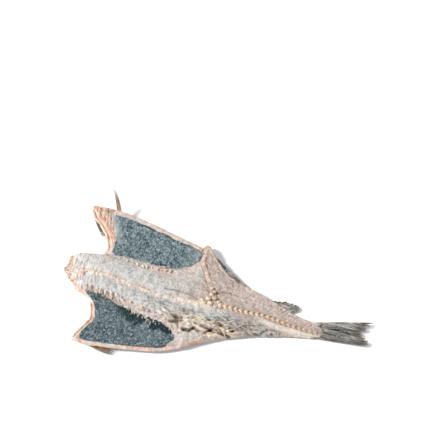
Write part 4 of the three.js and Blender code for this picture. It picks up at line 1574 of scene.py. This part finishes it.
# %% [markdown]
# ## Shreds and rib ends
# The knife and the drying leave loose shreds wherever flesh was cut: a fringe round the nape, frills
# that hang over the edges of the linings, and threads along the folds. They are short tapering
# strands, laid out as arrays from a seeded random source. The cut rib ends are fatter strands.

# %% Shreds
SHRED_STEPS = 7


def shreds(x, y, heading, length, radius, sag, seed):
    """Tapering strands that start on the flesh at x, y and run off at a heading in radians. They
    curl sideways as the square of the distance and sag by the same square, and thin out as a
    square root towards their tips."""
    random = np.random.RandomState(seed)
    k = np.linspace(0, 1, SHRED_STEPS)
    curl = random.uniform(-0.5, 0.5, len(x))[:, None] * k
    run = length[:, None] * k
    px = x[:, None] + run * np.cos(heading[:, None] + curl)
    py = y[:, None] + run * np.sin(heading[:, None] + curl)
    lift_off = radius[:, None] * (0.6 + 1.2 * k)
    pz = flesh_at(x, y)[:, None] + lift_off - sag[:, None] * k * k
    taper = np.sqrt(np.clip(1 - k, 0.03, 1)) * np.clip(0.4 + 4 * k, 0, 1)
    return strands(np.stack([px, py, pz], axis=-1), radius[:, None] * taper, sides=6, flatten=0.7)


def edge_shreds(count, line, start, end, toward, length, radius, sag, seed):
    """Shreds that start within a few millimetres of the curve line(x). They point across it, to the
    left where toward is 1 and to the right where it is -1, up to 0.9 radians off. Between the two,
    toward turns them in proportion, so near 0 they run along the line to the tail."""
    random = np.random.RandomState(seed)
    x = random.uniform(start, end, count)
    y = line(x) + random.normal(0, 1.5, count)
    heading = toward * np.pi / 2 + random.uniform(-0.9, 0.9, count)
    return shreds(
        x, y, heading, random.uniform(*length, count), random.uniform(*radius, count),
        random.uniform(*sag, count), seed + 1,
    )


def nape_fringe(count, seed):
    """Shreds along the torn front of the nape that point forward, up to one radian off."""
    random = np.random.RandomState(seed)
    share = random.uniform(-0.3, 0.22, count)
    x = front(share) + random.uniform(3, 9, count)
    y = crease(x) + share * half_width(x, share)
    heading = np.pi + random.uniform(-1.0, 1.0, count)
    return shreds(
        x, y, heading, random.uniform(4, 11, count), random.uniform(0.5, 1.3, count),
        random.uniform(0, 5, count), seed + 1,
    )


def left_edge(x):
    """Where the left loin ends and its flap begins."""
    return crease(x) + left_loin(x)


def right_edge(x):
    """Where the lining begins on the slope of the right loin."""
    return crease(x) - 0.87 * right_loin(x)


def fold_line(x):
    """The middle of the crumpled folds."""
    return -56.0 - 0.05 * (x - 300)


def rib_ends(line, start, end, count, length, seed):
    """Fat strands 3 to 7 mm thick at nearly even steps along a line, all pointing to the fish's
    right and a little to the tail, as the ribs ran."""
    random = np.random.RandomState(seed)
    x = np.linspace(start, end, count) + random.uniform(-2.5, 2.5, count)
    y = line(x) + 0.5 * length + random.uniform(-2, 2, count)
    heading = -np.pi / 2 + 0.3 + random.uniform(-0.7, 0.7, count)
    size = random.uniform(0.45, 1.25, count)
    return shreds(x, y, heading, length * size, 2.9 * size, 1.5 * size, seed + 1)


# %% All strands in one piece
edge_rows = [  # count, line, start and end of X, toward, ranges of length, radius and sag, seed
    (60, left_edge, 86, 270, 1, (2.5, 6), (0.5, 1.1), (0.5, 2.5), 310),
    (70, right_edge, 112, 296, -1, (3, 8), (0.7, 1.6), (3, 7), 320),
    (46, fold_line, 250, 420, 0.1, (10, 26), (0.7, 1.5), (0, 2), 330),
    (30, right_stub_line, 66, 150, -1, (4, 9), (0.7, 1.5), (0, 2), 340),
]
groups = [
    rib_ends(left_stub_line, 76, 235, count=15, length=9.0, seed=360),
    rib_ends(right_stub_line, 66, 150, count=8, length=13.0, seed=370),
    rib_ends(right_stub_line, 158, 262, count=8, length=7.0, seed=380),
    nape_fringe(count=70, seed=300),
    *[edge_shreds(*row) for row in edge_rows],
]
points, faces, nothing = joined(*[(part, walls, np.zeros(len(part))) for part, walls in groups])
where_x, where_y = points[:, 0], points[:, 1]
front_half = 1 - soft_step(60, 160, where_x)
shred_blush = 0.1 + 0.3 * front_half + 0.4 * (1 - soft_step(10, 45, where_x))
shred_blush = shred_blush + 0.5 * patches(where_x, where_y, 15, 352)
shred_masks = {
    "warmth": 0.4 + 0.6 * patches(where_x, where_y, 20, 350),
    "cream_and_highlight": 0.75 + 0.5 * patches(where_x, where_y, 12, 351),
    "blush": np.clip(shred_blush, 0, 1),
}
shred_masks |= {name: nothing for name in ("stain_and_shade", "slate", "bleach_and_highlight", "painted_shade")}
flesh_shreds = make_piece("flesh_shreds", points, faces, flesh_finish, shred_masks)
settle(flesh_shreds, "salted_flesh", "fish_body")

# %% [markdown]
# ## Stage, light and camera
# The fish lies on a plain white table in soft light: a bright even surround, and one sun with a wide
# disc that comes from beyond the nape and rakes across the relief. A sun lights a table of any size
# evenly, which a lamp nearby would not. The camera looks down at about 62 degrees from the right
# side of the fish, turned a little to the tail.

# %% Table
FLOOR_HALF_SIDE = 150.0  # metres, so that its far end is a thin line even from low down
FLOOR_DROP = 0.0005  # metres below the flat of the back, so that the two never share a plane
TABLE_WHITE = (0.93, 0.93, 0.93, 1.0)
TABLE_ROUGHNESS = 0.8
floor_mesh = bpy.data.meshes.new("table_top")
side = FLOOR_HALF_SIDE
corners = [(-side, -side, 0), (side, -side, 0), (side, side, 0), (-side, side, 0)]
floor_mesh.from_pydata(corners, [], [(0, 1, 2, 3)])
floor = bpy.data.objects.new("table_top", floor_mesh)
floor.location.z = -FLOOR_DROP
bpy.context.scene.collection.objects.link(floor)
floor_finish, tree, shader = new_finish("white table")
shader.inputs["Base Color"].default_value = TABLE_WHITE
shader.inputs["Roughness"].default_value = TABLE_ROUGHNESS
floor_mesh.materials.append(floor_finish)

# %% Light
SURROUND_STRENGTH = 0.6


def aimed(thing, spot, aim):
    """Places a lamp or a camera at spot with its view, the local -Z, towards aim, both given in
    drawing millimetres, and puts it in the scene."""
    thing.location = place(spot)
    thing.rotation_euler = Vector(place(aim) - place(spot)).to_track_quat("-Z", "Y").to_euler()
    bpy.context.scene.collection.objects.link(thing)


sun = bpy.data.lights.new("raking sun", "SUN")
sun.angle = radians(12)  # a wide disc blurs the shadows
sun.energy = 4.1
aimed(bpy.data.objects.new("raking sun", sun), (-2300, -700, 2300), (300, 0, 0))

world = bpy.data.worlds.new("surround")
bpy.context.scene.world = world
world.use_nodes = True
surround = world.node_tree.nodes["Background"].inputs
surround["Color"].default_value = (1, 1, 1, 1)
surround["Strength"].default_value = SURROUND_STRENGTH
bpy.context.scene.view_settings.view_transform = "Standard"
print("sun of", round(sun.energy, 2), "and surround of", SURROUND_STRENGTH)

# %% Camera
camera_data = bpy.data.cameras.new("camera")
camera_data.sensor_width = 36.0
camera_data.lens = 68.6
camera = bpy.data.objects.new("camera", camera_data)
aimed(camera, (591, -804, 1597), (267, 245, 0))
bpy.context.scene.camera = camera
print("camera, in metres:", [round(value, 3) for value in camera.location])
